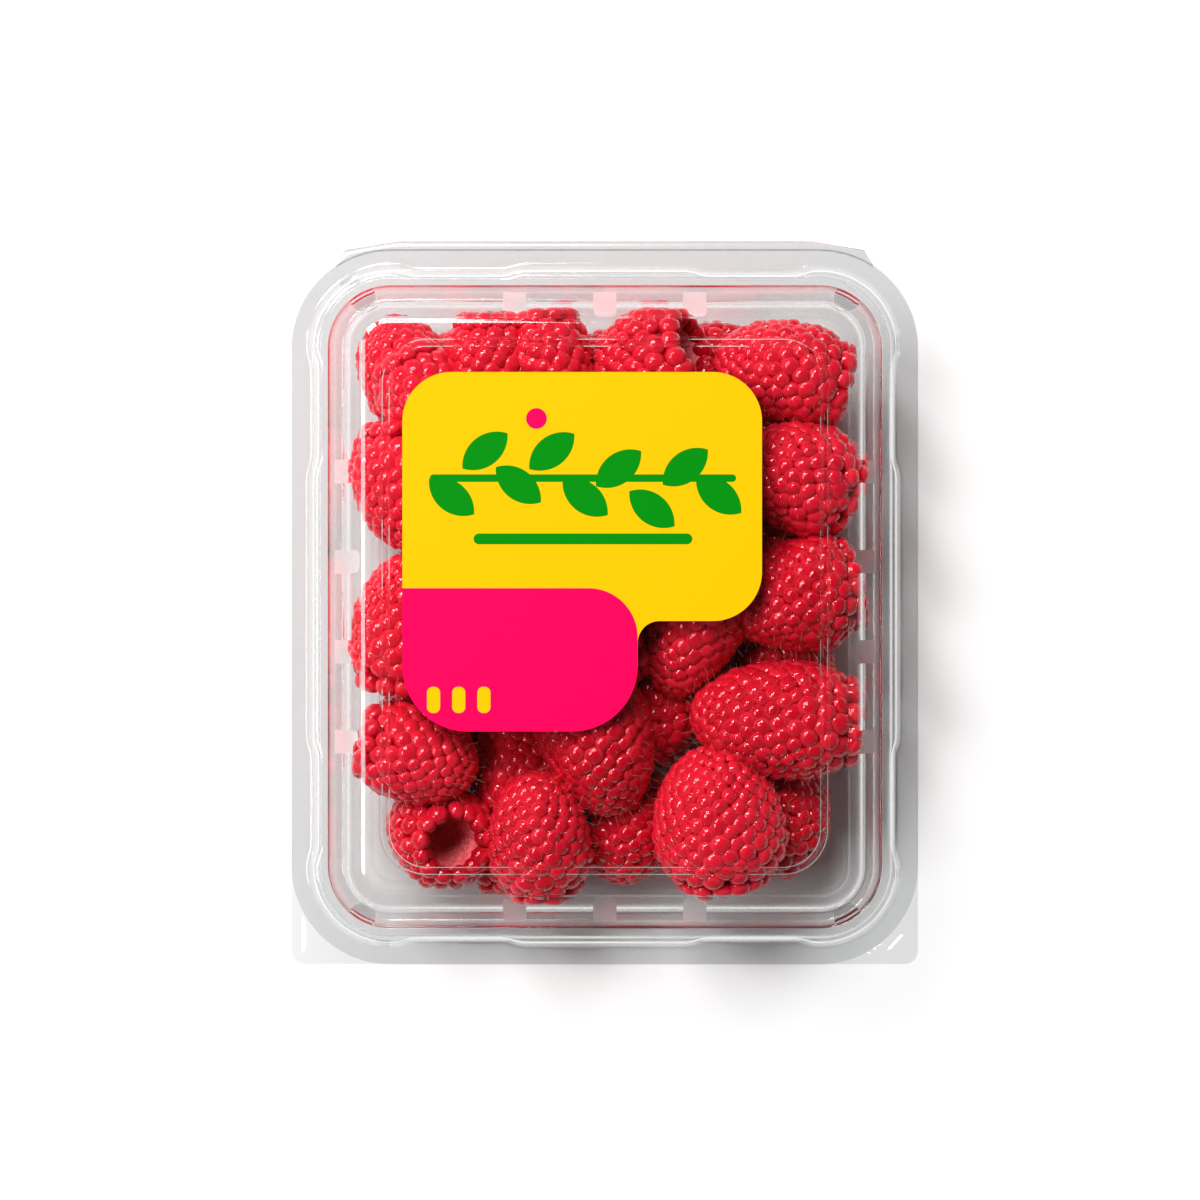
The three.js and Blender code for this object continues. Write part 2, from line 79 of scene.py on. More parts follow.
# Upper berries, then the lower ones, placed from the middle of the flanges, in millimetres. Yaw and lift turn
# the tip from +X towards +Y and then up, in degrees. Where the eighth value is given, it takes the place of
# the rule for ripeness and painted shade.
BERRY_COLUMNS = ("x", "y", "z", "long", "wide", "yaw", "lift", "ripe_and_shade")
BERRIES = [
    (-37.4, 44.2, 17.5, 22, 18, 115, 0),
    (-33, 38, 24, 21, 16.5, -60, 5),
    (-21.6, 44.2, 22, 21.5, 16.5, -88, -5),
    (-9.8, 44.4, 23, 22.5, 16, -80, 5),
    (7.6, 45, 22, 22, 20.5, 200, -26),
    (33.2, 44, 22, 26, 19.5, 168, 5),
    (36.2, 24.6, 22.5, 22.5, 21.5, 158, 18),
    (34.8, 2, 22, 27, 22, 192, 4),
    (32.2, -20.8, 22.3, 33, 22.5, 177, 2),
    (21, -39.4, 21.5, 28, 24.5, 98, 14, 0.3),
    (16, -5.2, 21.5, 25, 19.5, 248, -4),
    (-1, -26, 21, 27, 23.5, -76, 0, 0.9),
    (-12.2, -42.4, 21.5, 25.5, 19.5, 94, 28),
    (-31, -42.6, 14.5, 21, 20.5, 152, -70),
    (-35, -27.6, 23, 23.5, 18, -16, -6),
    (-37.4, -3.4, 22, 27, 19, 82, 3),
    (-36.8, 22.6, 22.3, 24.5, 21, -84, 4),
    (-17, 23, 21, 22, 19, 20, 0),
    (0.5, 27, 20.5, 22, 18, -60, 0),
    (17, 26.5, 21, 20, 18, 75, 0),
    (-18, 4.5, 21, 22, 19, 160, 0),
    (0, 8.5, 21, 21, 19, 30, 0),
    (17, 11, 20, 19, 16, 0, 0),
    (-18.5, -13.5, 20.5, 21, 18.5, -30, 0),
    (-1, -9, 20, 18, 17, 200, 0),
    (33.4, -39.2, 11.5, 21, 19.5, 62, -10),
    (3.6, -42.2, 11.5, 21, 19.5, -90, 0),
    (-16.4, -29.5, 12, 22, 19, 100, 10),
    (11, -17.8, 11.5, 23, 19.5, 60, 0),
    (-33.4, -21.5, 10.8, 22, 19, 85, 0),
    (34.4, -14.6, 10.8, 22, 19, -80, 0),
    (-34.4, 2, 10.8, 23, 19, 80, 0),
    (34.6, 10, 10.8, 22.5, 19, 95, 0),
    (-34.2, 26, 10.8, 22, 19, -95, 0),
    (34, 33.5, 10.8, 22, 19.5, -70, 0),
    (-23, 44, 10.6, 21, 18.5, 8, 0),
    (1, 44, 10.6, 22, 18.5, 172, 0),
    (21, 45.4, 10.2, 19, 17, 15, 0),
    (-13.6, 24, 10.4, 22, 18.5, 45, 0),
    (12.6, 24.6, 10.4, 22, 18.5, -35, 0),
    (-13, 0, 10.4, 22, 18.5, 110, 0),
    (12.4, 0, 10.4, 22, 18.5, 70, 0),
    (-15.6, -46.6, 9.4, 19, 16.5, 12, 0),
]
OUTER_BERRIES = 12
UPPER_BERRIES = 25
LOWER_SPLIT = 34

CORNER_RADIUS = 18.4 * MM

# Fineness of the moulded sheet's mesh
CORNER_STEPS = 64
SIDE_STEP = 2 * MM
FINE_STEP = 0.3 * MM
ROUND_STEPS = 5
SHARP_ANGLE = math.radians(24)

# The lid's vent slots and small pressed forms, placed from the middle of the flanges
SIDE_SLOTS = 4
END_SLOTS = 3
PAD_X = 44.6 * MM
PAD_Y = 56.9 * MM
PAD_RADIUS = 2.45 * MM
PAD_RISE = 0.15 * MM
PAD_DROP = 1.4 * MM
BULGE_MIDDLE = 27 * MM
BULGE_SIDE_SHIFT = 9 * MM
BULGE_LENGTH = 20 * MM
BULGE_DEPTH = 0.9 * MM
BUTTON_LENGTH = 5 * MM
BUTTON_WIDTH = 2.1 * MM
BUTTON_RISE = 0.7 * MM
BUTTON_SINK = 0.2 * MM
# x and y in millimetres, and the turn of a button's straight side, in degrees
SNAP_BUTTONS = [(-46.6, 60.4, 45), (54.0, 49.2, -90), (-42.2, -62.2, 180), (54.0, -51.0, -90)]

# The hinge strip's slanting ends: how far they run, how far they fall back, and their short sides
HINGE_SLANT = 9.8 * MM
HINGE_DROP = 1.6 * MM
HINGE_END = 1.6 * MM
# How far the strip lies inside the flanges' edge, its least reach, its overlap with each flange, the
# thickness of its film, and the power that rounds its fold, which is fuller the smaller this is
HINGE_TUCK = 0.3 * MM
HINGE_LEAST = 0.5 * MM
HINGE_OVERLAP = 0.25 * MM
HINGE_FILM = 0.2 * MM
HINGE_FULLNESS = 0.6

# The tray's pull tabs, measured from their corners
TAB_REACH = 2.1 * MM
TAB_SIDE = 11 * MM
TAB_RINGS = 32
MARK_NEAR = 2.0 * MM
MARK_FAR = 9.0 * MM
MARK_RISE = 0.32 * MM

# Shape of a berry, as shares of its own size
BERRY_FULLNESS = 2.4
CROWN_SHARE = -0.8
MOUTH_SHARE = 0.5
TIP_SHARE = 0.985
GOLDEN_TURN = math.pi * (3 - math.sqrt(5))
# A drupelet's share of the square of its width, how deep it sits as a share of its width, and how often
# the drupelets push one another apart
PACKING = 0.82
SUNK_SHARE = 0.42
PUSH_ROUNDS = 8

# Painted shade on top of each berry's random ripeness: the berries' red is painted darker towards the pack's
# front right corner, away from the lamps, and in the lower layer, which lies in the heap's shade
RIPE_AND_SHADE_MIDDLE = 0.4
SHADE_SLOPE = 1 / 130
LOWER_LAYER_SHADE = 0.3
LAYER_HEIGHT = 13

SHEET_MATERIAL = "clear_moulded_sheet"
HINGE_MATERIAL = "dull_folded_sheet"

# Place, size in metres and power in watts of each lamp, which all look at the punnet
LAMPS = {
    "window_right": ((-0.2, 0.74, 1.1), (0.3, 0.5), 9.8),
    "window_left": ((-0.56, 0.6, 1.1), (0.3, 0.5), 9.8),
    "strip": ((-0.85, 0.0, 1.1), (0.6, 0.42), 7.6),
}
LAMP_TARGET = Vector((0, 0, 0.02))


def length(name, description, default):
    return FloatProperty(name=name, description=description, default=default, unit="LENGTH", precision=4)


def colour(name, description, default):
    return FloatVectorProperty(
        name=name, description=description, default=default, subtype="COLOR", size=3, min=0, max=1
    )


class PunnetSizes(bpy.types.PropertyGroup):
    sheet: length("Sheet", "Thickness of the moulded sheet", 0.4 * MM)
    corner: length("Corner", "Corner radius of the outline", CORNER_RADIUS)
    tab_corner: length("Tab corner", "Corner radius of the two pull tabs", 2.5 * MM)
    rim_height: length("Rim height", "Height of the lid's rim above its flange", 3 * MM)
    groove_height: length("Groove height", "Height of the groove inside the rim", 1.4 * MM)
    dome_height: length("Dome height", "Height of the lid's dome above its flange", 7.7 * MM)
    slot_width: length("Slot width", "Width of a vent slot", 4.3 * MM)
    slot_pitch: length("Slot pitch", "Distance between two vent slots", 16.6 * MM)
    hinge_width: length("Hinge width", "Width of the hinge strip at its fold", 76.6 * MM)


class BerrySizes(bpy.types.PropertyGroup):
    drupelet: length("Drupelet", "Usual distance between two drupelets", 3.15 * MM)
    hair_length: length("Hair length", "Length of the longest hairs", 2.6 * MM)
    hair_width: length("Hair width", "Width of a hair at its root", 0.07 * MM)
    seed: IntProperty(name="Seed", description="Draws the berries' small differences", default=7)


class PunnetColours(bpy.types.PropertyGroup):
    yellow: colour("Yellow", "Large field of the label", (0.98, 0.495, 0.0))
    magenta: colour("Magenta", "Foot of the label", (0.95, 0.0, 0.09))
    green: colour("Green", "Leaves on the label", (0.0, 0.235, 0.003))
    flesh: colour("Flesh", "Usual colour of a drupelet", (0.90, 0.003, 0.024))
    # Painted light: the lit end of the berries' red as well as their less ripe tone
    pale: colour("Pale", "Less ripe drupelets", (0.96, 0.014, 0.042))
    # Painted shade: the shaded end of the berries' red as well as their ripest tone, and the shade far inside
    # a berry's hollow
    dark: colour("Dark", "Ripest drupelets", (0.60, 0.001, 0.013))
    # Partly painted reflection: the pale rim stands for a drupelet's bright grazing edge as well as its paler
    # fuzz
    rim: colour("Rim", "Pale line round a drupelet", (0.95, 0.10, 0.13))
    # Painted shade: the darkening in the creases between the drupelets
    gap: colour("Gap", "Deep creases between the drupelets", (0.50, 0.001, 0.010))
    hollow: colour("Hollow", "Inside of a berry", (0.80, 0.05, 0.08))
    felt: colour("Felt", "Pale threads inside a berry", (0.92, 0.26, 0.26))
    hair: colour("Hair", "Fine hairs on the berries", (0.42, 0.13, 0.07))
    floor: colour("Floor", "Surface under the punnet", (0.95, 0.95, 0.95))


def arithmetic(operation, flipped=False):
    """A method that joins a term and another value by one node."""

    def method(self, *others):
        values = (*others, self) if flipped else (self, *others)
        return self.nodes.node("ShaderNodeMath", {"operation": operation}, dict(enumerate(values)))

    return method


class Term:
    """A socket of a node tree that works in ordinary arithmetic."""

    def __init__(self, nodes, socket):
        self.nodes = nodes
        self.socket = socket

    __add__ = __radd__ = arithmetic("ADD")
    __sub__ = arithmetic("SUBTRACT")
    __rsub__ = arithmetic("SUBTRACT", flipped=True)
    __mul__ = __rmul__ = arithmetic("MULTIPLY")
    __truediv__ = arithmetic("DIVIDE")
    __pow__ = arithmetic("POWER")
    __abs__ = arithmetic("ABSOLUTE")
    highest = arithmetic("MAXIMUM")
    lowest = arithmetic("MINIMUM")

    def ramp(self, low, high):
        """0 below low and 1 above high, smooth between."""
        inputs = {"Value": self, "From Min": low, "From Max": high}
        return self.nodes.node("ShaderNodeMapRange", {"interpolation_type": "SMOOTHSTEP"}, inputs)


class Nodes:
    """A node tree, with one way to add a node."""

    def __init__(self, tree):
        self.tree = tree

    def node(self, kind, settings=None, inputs=None, output=0):
        node = self.tree.nodes.new(kind)
        for name, value in (settings or {}).items():
            setattr(node, name, value)
        for name, value in (inputs or {}).items():
            self.feed(node.inputs[name], value)
        return Term(self, node.outputs[output]) if node.outputs else None

    def feed(self, socket, value):
        if isinstance(value, Term):
            self.tree.links.new(value.socket, socket)
        elif socket.type == "RGBA" and len(value) == 3:
            socket.default_value = (*value, 1)
        else:
            socket.default_value = value


class Shader(Nodes):
    """A material's node tree."""

    def __init__(self, name):
        self.material = bpy.data.materials.new(name)
        self.material.use_nodes = True
        super().__init__(self.material.node_tree)
        self.tree.nodes.clear()

    def attribute(self, name):
        return self.node("ShaderNodeAttribute", {"attribute_name": name}, output="Fac")

    def place(self):
        return self.node("ShaderNodeTexCoord", output="Object")

    def noise(self, vector, scale, detail):
        return self.node("ShaderNodeTexNoise", inputs={"Vector": vector, "Scale": scale, "Detail": detail})

    def blend(self, share, low, high):
        """The colour low where share is 0, and high where it is 1."""
        mixer = self.tree.nodes.new("ShaderNodeMix")
        mixer.data_type = "RGBA"
        self.feed(mixer.inputs["Factor"], share)
        for socket, tone in zip([socket for socket in mixer.inputs if socket.type == "RGBA"], (low, high)):
            self.feed(socket, tone)
        return Term(self, next(socket for socket in mixer.outputs if socket.type == "RGBA"))

    def bump(self, height, strength, distance):
        inputs = {"Height": height, "Strength": strength, "Distance": distance}
        return self.node("ShaderNodeBump", inputs=inputs)

    def principled(self, inputs):
        return self.node("ShaderNodeBsdfPrincipled", inputs=inputs)

    def finish(self, surface):
        self.node("ShaderNodeOutputMaterial", inputs={"Surface": surface})
        return self.material


def clear_sheet_material(name, least_roughness):
    """Clear moulded sheet: glossy and slightly wavy, while light reaches what it holds straight through."""
    shader = Shader(name)
    waves = shader.noise(shader.place(), 55.0, 1.0)
    dull = shader.attribute("dull")
    sheet = shader.principled({
        "Base Color": (0.80, 0.815, 0.815),
        "Roughness": least_roughness + dull * 0.1,
        "IOR": 1.4,
        "Transmission Weight": 1.0,
        "Normal": shader.bump(waves, 0.10, 0.4 * MM),
    })
    open_way = shader.node("ShaderNodeBsdfTransparent", inputs={"Color": (0.96, 0.96, 0.96)})
    shadow, diffuse, glossy, through = [
        shader.node("ShaderNodeLightPath", output=f"Is {kind} Ray")
        for kind in ("Shadow", "Diffuse", "Glossy", "Transmission")
    ]
    straight = shadow.highest(diffuse).highest(glossy * (1 - through)).highest(dull * 0.8)
    return shader.finish(shader.node("ShaderNodeMixShader", inputs={0: straight, 1: sheet, 2: open_way}))


def shared_sheet():
    """The one clear material of tray and lid."""
    kept = bpy.data.materials.get(SHEET_MATERIAL)
    return kept or clear_sheet_material(SHEET_MATERIAL, least_roughness=0.03)


def berry_skin_material(colours):
    """Juicy drupelets: glossy and deep red, with painted shade in the creases, a pale rim that is partly a
    painted rim reflection and partly paler fuzz, random patches, and a red painted paler where lit and darker
    where shaded as well as by ripeness.
    """
    shader = Shader("berry_skin")
    height = shader.attribute("height")
    ripe_and_shade = shader.attribute("ripe_and_shade")
    place = shader.place()
    patches = shader.noise(place, 220.0, 3.0)
    grain = shader.noise(place, 2600.0, 2.0)
    dents = shader.noise(place, 520.0, 1.0)
    # Painted light and shade: the red runs from the lit, less ripe tone to the shaded, ripest one
    flesh = shader.blend(ripe_and_shade, colours.pale, colours.dark)
    flesh = shader.blend(patches.ramp(0.3, 0.7) * 0.3, flesh, colours.flesh)
    # Partly painted reflection: a pale rim near each drupelet's foot stands for its bright grazing edge as
    # well as its paler fuzz
    rim = height.ramp(0.5, 0.64) * (1 - height.ramp(0.66, 0.82)) * patches.ramp(0.2, 0.6)
    flesh = shader.blend(rim * 0.22, flesh, colours.rim)
    return shader.finish(shader.principled({
        # Painted shade: each drupelet darkens towards its foot, in the creases where it meets its neighbours
        "Base Color": shader.blend(height.ramp(0.2, 0.5), colours.gap, flesh),
        "Roughness": 0.02 + grain * 0.03,
        "IOR": 1.5,
        "Sheen Weight": 0.02,
        "Sheen Roughness": 0.35,
        "Sheen Tint": (1.0, 0.55, 0.55),
        "Normal": shader.bump(dents + grain * 0.04, 0.5, 0.3 * MM),
    }))


def berry_body_material(colours):
    """The berry under its drupelets, whose outer wall is painted with the creases' shade, and the pale felted
    wall of its hollow, painted darker towards the hollow's end as shade.
    """
    shader = Shader("berry_body")
    inside = shader.attribute("inside")
    felt = shader.noise(shader.place(), 1500.0, 3.0)
    hollow = shader.blend(felt.ramp(0.3, 0.8), colours.hollow, colours.felt)
    # Painted shade: the hollow darkens towards its end, far inside the berry
    deep = shader.blend(inside.ramp(0.55, 1.0), hollow, colours.dark)
    return shader.finish(shader.principled({
        # Painted shade: the outer wall between the drupelets takes the creases' shaded colour
        "Base Color": shader.blend(inside.ramp(0.02, 0.12), colours.gap, deep),
        "Roughness": 0.55,
        "Normal": shader.bump(felt, 0.5, 0.3 * MM),
    }))


def hair_material(colours):
    """Fine dry hairs, paler towards their tips."""
    shader = Shader("berry_hair")
    along = shader.attribute("along_hair")
    tone = shader.blend(along.ramp(0.0, 1.0), colours.hair, (0.80, 0.52, 0.38))
    return shader.finish(shader.principled({"Base Color": tone, "Roughness": 0.6}))


def new_object(name, data, material=None):
    piece = bpy.data.objects.new(name, data)
    bpy.context.scene.collection.objects.link(piece)
    if material is not None:
        data.materials.append(material)
    return piece


def settle(piece, material):
    """Turns a piece's modifiers into plain mesh, all of one material."""
    depsgraph = bpy.context.evaluated_depsgraph_get()
    shaped = bpy.data.meshes.new_from_object(piece.evaluated_get(depsgraph), depsgraph=depsgraph)
    piece.modifiers.clear()
    old = piece.data
    piece.data = shaped
    bpy.data.meshes.remove(old)
    shaped.name = piece.name
    shaped.materials.clear()
    shaped.materials.append(material)
    shaped.polygons.foreach_set("material_index", [0] * len(shaped.polygons))


def shade(piece):
    piece.data.shade_smooth()
    piece.data.set_sharp_from_angle(angle=SHARP_ANGLE)


def smooth(value, low, high):
    """0 below low and 1 above high, smooth between."""
    share = min(max((value - low) / (high - low), 0.0), 1.0)
    return share * share * (3 - 2 * share)


def window(value, low, high, ease):
    """1 from low to high, easing to 0 outside them."""
    return smooth(value, low - ease, low) * (1 - smooth(value, high, high + ease))


def arc(centre, radius, start, turn, steps):
    """Points of an arc that begins at an angle and goes through a turn, in degrees."""
    angles = [math.radians(start + turn * step / steps) for step in range(steps + 1)]
    return [centre + radius * Vector((math.cos(angle), math.sin(angle), 0)) for angle in angles]


def outline(half_x, half_y, front_radius, back_radius, height):
    """A rounded rectangle round the middle of the flanges, anticlockwise from above."""
    arcs = []
    for quarter, (side_x, side_y) in enumerate(((1, 1), (-1, 1), (-1, -1), (1, -1))):
        radius = back_radius if side_y > 0 else front_radius
        x = MIDDLE.x + side_x * (half_x - radius)
        y = MIDDLE.y + side_y * (half_y - radius)
        arcs.append(arc(Vector((x, y, height)), radius, quarter * 90, 90, CORNER_STEPS))
    steps = [round(2 * HALF_WIDTH / SIDE_STEP), round(2 * HALF_DEPTH / SIDE_STEP)]
    points = []
    for index, corner in enumerate(arcs):
        points += corner
        onward = arcs[(index + 1) % 4][0]
        count = steps[index % 2]
        points += [corner[-1].lerp(onward, step / count) for step in range(1, count)]
    return points


def rounded_profile(corners):
    """A path through (inset, height, reach of the rounding) corners, each turned into a curve."""
    path = []
    for index, (inset, height, reach) in enumerate(corners):
        here = Vector((inset, height))
        if not reach:
            path.append(here)
            continue
        before = Vector(corners[index - 1][:2]) - here
        after = Vector(corners[index + 1][:2]) - here
        start = here + before.normalized() * min(reach, before.length * 0.49)
        end = here + after.normalized() * min(reach, after.length * 0.49)
        for step in range(ROUND_STEPS + 1):
            share = step / ROUND_STEPS
            path.append(start.lerp(here, share).lerp(here.lerp(end, share), share))
    return path


def refine(path, start, end, longest):
    """Adds points to the stretches of a path between two insets, so that none is longer than asked."""
    fine = [path[0]]
    for before, here in zip(path, path[1:]):
        inside = start <= before.x and here.x <= end
        count = math.ceil((here - before).length / longest) if inside else 1
        fine += [before.lerp(here, step / count) for step in range(1, count + 1)]
    return fine


def lower_face(path, thickness):
    """The same path moved to the sheet's other face."""
    below = []
    for index, here in enumerate(path):
        into = here - path[max(index - 1, 0)]
        out = path[min(index + 1, len(path) - 1)] - here
        into = (into if into.length else out).normalized()
        out = (out if out.length else into).normalized()
        along = (into + out).normalized()
        reach = thickness / max(along.dot(out), 0.5)
        below.append(here + Vector((along.y, -along.x)) * reach)
    return below


def band(shape, rows):
    """Faces between rows of corners, each of which closes on itself."""
    for here, onward in zip(rows, rows[1:]):
        for i in range(len(here)):
            j = (i + 1) % len(here)
            shape.faces.new((here[i], onward[i], onward[j], here[j]))


def solid(shape, rings):
    """A closed body through rings of points."""
    rows = [[shape.verts.new(point) for point in ring] for ring in rings]
    band(shape, rows)
    shape.faces.new(rows[0])
    shape.faces.new(reversed(rows[-1]))


def mesh_from(shape, name):
    """The mesh that a bmesh leaves behind."""
    mesh = bpy.data.meshes.new(name)
    shape.to_mesh(mesh)
    shape.free()
    return mesh


def ring_mesh(name, rings):
    """A closed mesh through rings from the middle of the top, round the edge, to the middle below."""
    shape = bmesh.new()
    solid(shape, rings)
    return mesh_from(shape, name)


def sheet_rings(path, thickness, radius_at, front_radius_at, press):
    """Both faces of a moulded sheet. press(point) is the shift of a point by the pressed-in details."""

    def ring(inset, height):
        half_x = HALF_WIDTH - inset
        half_y = HALF_DEPTH - inset
        points = outline(half_x, half_y, front_radius_at(inset), radius_at(inset), height)
        return [point + press(point) for point in points]

    return [ring(*here) for here in reversed(path)] + [ring(*here) for here in lower_face(path, thickness)]


def lid_path(sizes):
    """The lid's upper face from its edge inwards, as corners of inset, height and reach of the rounding."""
    base = LID_BASE
    rim = base + sizes.rim_height
    groove = base + sizes.groove_height
    dome = base + sizes.dome_height
    edge = (0, base, 0)
    rim_foot = (3.0 * MM, base, 0.6 * MM)
    rim_edge = (4.5 * MM, rim, 1.0 * MM)
    groove_edge = (7.3 * MM, rim, 0.3 * MM)
    groove_foot = (8.3 * MM, groove, 0.4 * MM)
    wall_foot = (9.75 * MM, groove, 0.5 * MM)
    wall_top = (10.9 * MM, dome - 2.3 * MM, 1.2 * MM)
    shoulder_low = (13.2 * MM, dome - 0.31 * MM, 0.3 * MM)
    shoulder_high = (14.3 * MM, dome, 0.3 * MM)
    ledge = (dome + PANEL_TOP) / 2
    low_foot = (16.7 * MM, dome, 0)
    low_edge = (17.2 * MM, ledge, 0)
    high_foot = (18.0 * MM, ledge, 0)
    high_edge = (18.5 * MM, PANEL_TOP, 0)
    panel = (21 * MM, PANEL_TOP, 0)
    corners = [edge, rim_foot, rim_edge, groove_edge, groove_foot, wall_foot, wall_top]
    corners += [shoulder_low, shoulder_high]
    path = rounded_profile(corners + [low_foot, low_edge, high_foot, high_edge, panel])
    return refine(path, 0, 10 * MM, FINE_STEP)


def tray_path(sizes):
    """The tray's upper face from its edge inwards, as corners of inset, height and reach of the rounding."""
    bead = TRAY_FLANGE + 2.3 * MM
    floor = sizes.sheet
    edge = (0, TRAY_FLANGE, 0)
    tab_end = (TAB_REACH, TRAY_FLANGE, 0)
    bead_foot = (4.4 * MM, TRAY_FLANGE, 0.5 * MM)
    bead_outer = (5.1 * MM, bead, 0.6 * MM)
    bead_inner = (7.1 * MM, bead, 0.6 * MM)
    wall_foot = (13.7 * MM, floor, 3.6 * MM)
    panel_foot = (24 * MM, floor, 0.8 * MM)
    panel_edge = (25.2 * MM, floor + 0.6 * MM, 0.8 * MM)
    panel = (28 * MM, floor + 0.6 * MM, 0)
    corners = [edge, tab_end, bead_foot, bead_outer, bead_inner, wall_foot, panel_foot, panel_edge, panel]
    return refine(rounded_profile(corners), 0, TAB_REACH, TAB_REACH / TAB_RINGS)


def bulge(along, inset):
    """How far the outer side of the lid's rim bulges outwards."""
    reach = window(abs(along - BULGE_MIDDLE), 0, BULGE_LENGTH / 2 - 2 * MM, 4 * MM)
    return BULGE_DEPTH * reach * window(inset, 3.0 * MM, 4.9 * MM, 1.4 * MM)


def lid_press(point):
    """The shallow bulges in the outer side of the lid's rim."""
    x = point.x - MIDDLE.x
    y = point.y - MIDDLE.y
    shift_x = -math.copysign(bulge(abs(y) - BULGE_SIDE_SHIFT, HALF_WIDTH - abs(x)), x)
    shift_y = -math.copysign(bulge(abs(x), HALF_DEPTH - abs(y)), y)
    return Vector((shift_x, shift_y, 0))


def ridge(x, y, start, end, radius):
    """1 on the line between two places, in millimetres, easing to 0 at a radius round it."""
    start = Vector(start) * MM
    run = Vector(end) * MM - start
    here = Vector((x, y)) - start
    share = min(max(here.dot(run) / run.length_squared, 0.0), 1.0)
    return 1 - smooth((here - run * share).length, 0, radius)


def tray_press(point):
    """The tray's pull tabs: a raised triangle on the left one and two slanting ridges on the right one."""
    x = HALF_WIDTH - abs(point.x - MIDDLE.x)
    y = point.y - MIDDLE.y + HALF_DEPTH
    if max(x, y) > TAB_SIDE:
        return Vector((0, 0, 0))
    beyond_lid = math.hypot(CORNER_RADIUS - x, CORNER_RADIUS - y) - CORNER_RADIUS
    if point.x < MIDDLE.x:
        slant = (MARK_FAR + MARK_NEAR - x - y) / math.sqrt(2)
        mark = smooth(min(x - MARK_NEAR, y - MARK_NEAR, slant), -0.3 * MM, 0.8 * MM)
    else:
        long_ridge = ridge(x, y, (8.9, 2.2), (2.9, 8.6), 1.1 * MM)
        short_ridge = ridge(x, y, (5.0, 2.6), (2.8, 4.9), 0.9 * MM)
        mark = max(long_ridge, short_ridge)
    return Vector((0, 0, MARK_RISE * smooth(beyond_lid, 0, 0.5 * MM) * mark))


def slot_outline(sizes):
    """One vent slot's outline across the lid's right wall, its inner end rounded."""
    outer = HALF_WIDTH - 8.2 * MM
    inner = HALF_WIDTH - 13.1 * MM
    half = sizes.slot_width / 2
    corner = 1.2 * MM
    points = [Vector((outer, -half, 0)), Vector((outer, half, 0))]
    for side, start in ((1, 90), (-1, 180)):
        points += arc(Vector((inner + corner, side * (half - corner), 0)), corner, start, 90, 5)
    return points


def slot_places(sizes):
    """Turn, reach and shift of each vent slot: four along each side and three along each end."""
    places = []
    for turn in (0, math.pi):
        for index in range(SIDE_SLOTS):
            along = (index - (SIDE_SLOTS - 1) / 2) * sizes.slot_pitch
            places.append((turn, 0.0, MIDDLE + Vector((0, along, 0))))
        for index in range(END_SLOTS):
            along = (index - (END_SLOTS - 1) / 2) * sizes.slot_pitch
            places.append((turn + math.pi / 2, HALF_DEPTH - HALF_WIDTH, MIDDLE + Vector((along, 0, 0))))
    return places


def reshape(piece, operation, prisms):
    """Joins upright prisms to a closed piece, or cuts them out of it. A prism is its points, low and high."""
    shape = bmesh.new()
    for points, low, high in prisms:
        solid(shape, [[(point.x, point.y, height) for point in points] for height in (high, low)])
    mesh = mesh_from(shape, "prisms")
    tool = new_object("prisms", mesh)
    change = piece.modifiers.new("Prisms", "BOOLEAN")
    change.operation = operation
    change.solver = "MANIFOLD"
    change.object = tool
    settle(piece, piece.data.materials[0])
    bpy.data.objects.remove(tool)
    bpy.data.meshes.remove(mesh)


def pad_outline(side_x, side_y, radius):
    return arc(MIDDLE + Vector((side_x * PAD_X, side_y * PAD_Y, 0)), radius, 0, 360, 40)[:-1]


def button_outline(x, y, turn):
    """A half-round snap button, whose straight side lies along the rim."""
    size = Matrix.Diagonal((BUTTON_LENGTH / 2, BUTTON_WIDTH, 1))
    turned = Matrix.Rotation(math.radians(turn), 3, "Z") @ size
    middle = MIDDLE + Vector((x, y, 0)) * MM
    return [middle + turned @ spot for spot in arc(Vector((0, 0, 0)), 1, 0, 180, 16)]


def add_pads_and_buttons(lid, sizes):
    """Round hollow pads over the groove's corners, and the snap buttons beside the rim."""
    top = LID_BASE + sizes.rim_height + PAD_RISE
    corners = [(side_x, side_y) for side_x in (-1, 1) for side_y in (-1, 1)]
    solids = [(pad_outline(*corner, PAD_RADIUS), top - PAD_DROP, top) for corner in corners]
    low = LID_BASE - BUTTON_SINK
    solids += [(button_outline(*row), low, LID_BASE + BUTTON_RISE) for row in SNAP_BUTTONS]
    reshape(lid, "UNION", solids)
    wall = sizes.sheet
    inside = (top - PAD_DROP - 0.1 * MM, top - wall)
    reshape(lid, "DIFFERENCE", [(pad_outline(*corner, PAD_RADIUS - wall), *inside) for corner in corners])


def cut_slots(lid, sizes):
    cuts = []
    for turn, reach, shift in slot_places(sizes):
        turned = Matrix.Rotation(turn, 3, "Z")
        points = [turned @ (point + Vector((reach, 0, 0))) + shift for point in slot_outline(sizes)]
        cuts.append((points, LID_FLANGE - 1 * MM, PANEL_TOP + 2 * MM))
    reshape(lid, "DIFFERENCE", cuts)


def make_lid(sizes, material):
    corner = sizes.corner

    def radius_at(inset):
        shoulder_end, panel_foot, panel_radius = 14.4 * MM, 16.7 * MM, 8.8 * MM
        if inset <= shoulder_end:
            return corner - inset
        if inset >= panel_foot:
            return panel_radius - (inset - panel_foot)
        share = (inset - shoulder_end) / (panel_foot - shoulder_end)
        return (corner - shoulder_end) * (1 - share) + panel_radius * share

    rings = sheet_rings(lid_path(sizes), sizes.sheet, radius_at, radius_at, lid_press)
    lid = new_object("lid_shell", ring_mesh("lid_shell", rings), material)
    add_pads_and_buttons(lid, sizes)
    cut_slots(lid, sizes)
    shade(lid)
    return lid


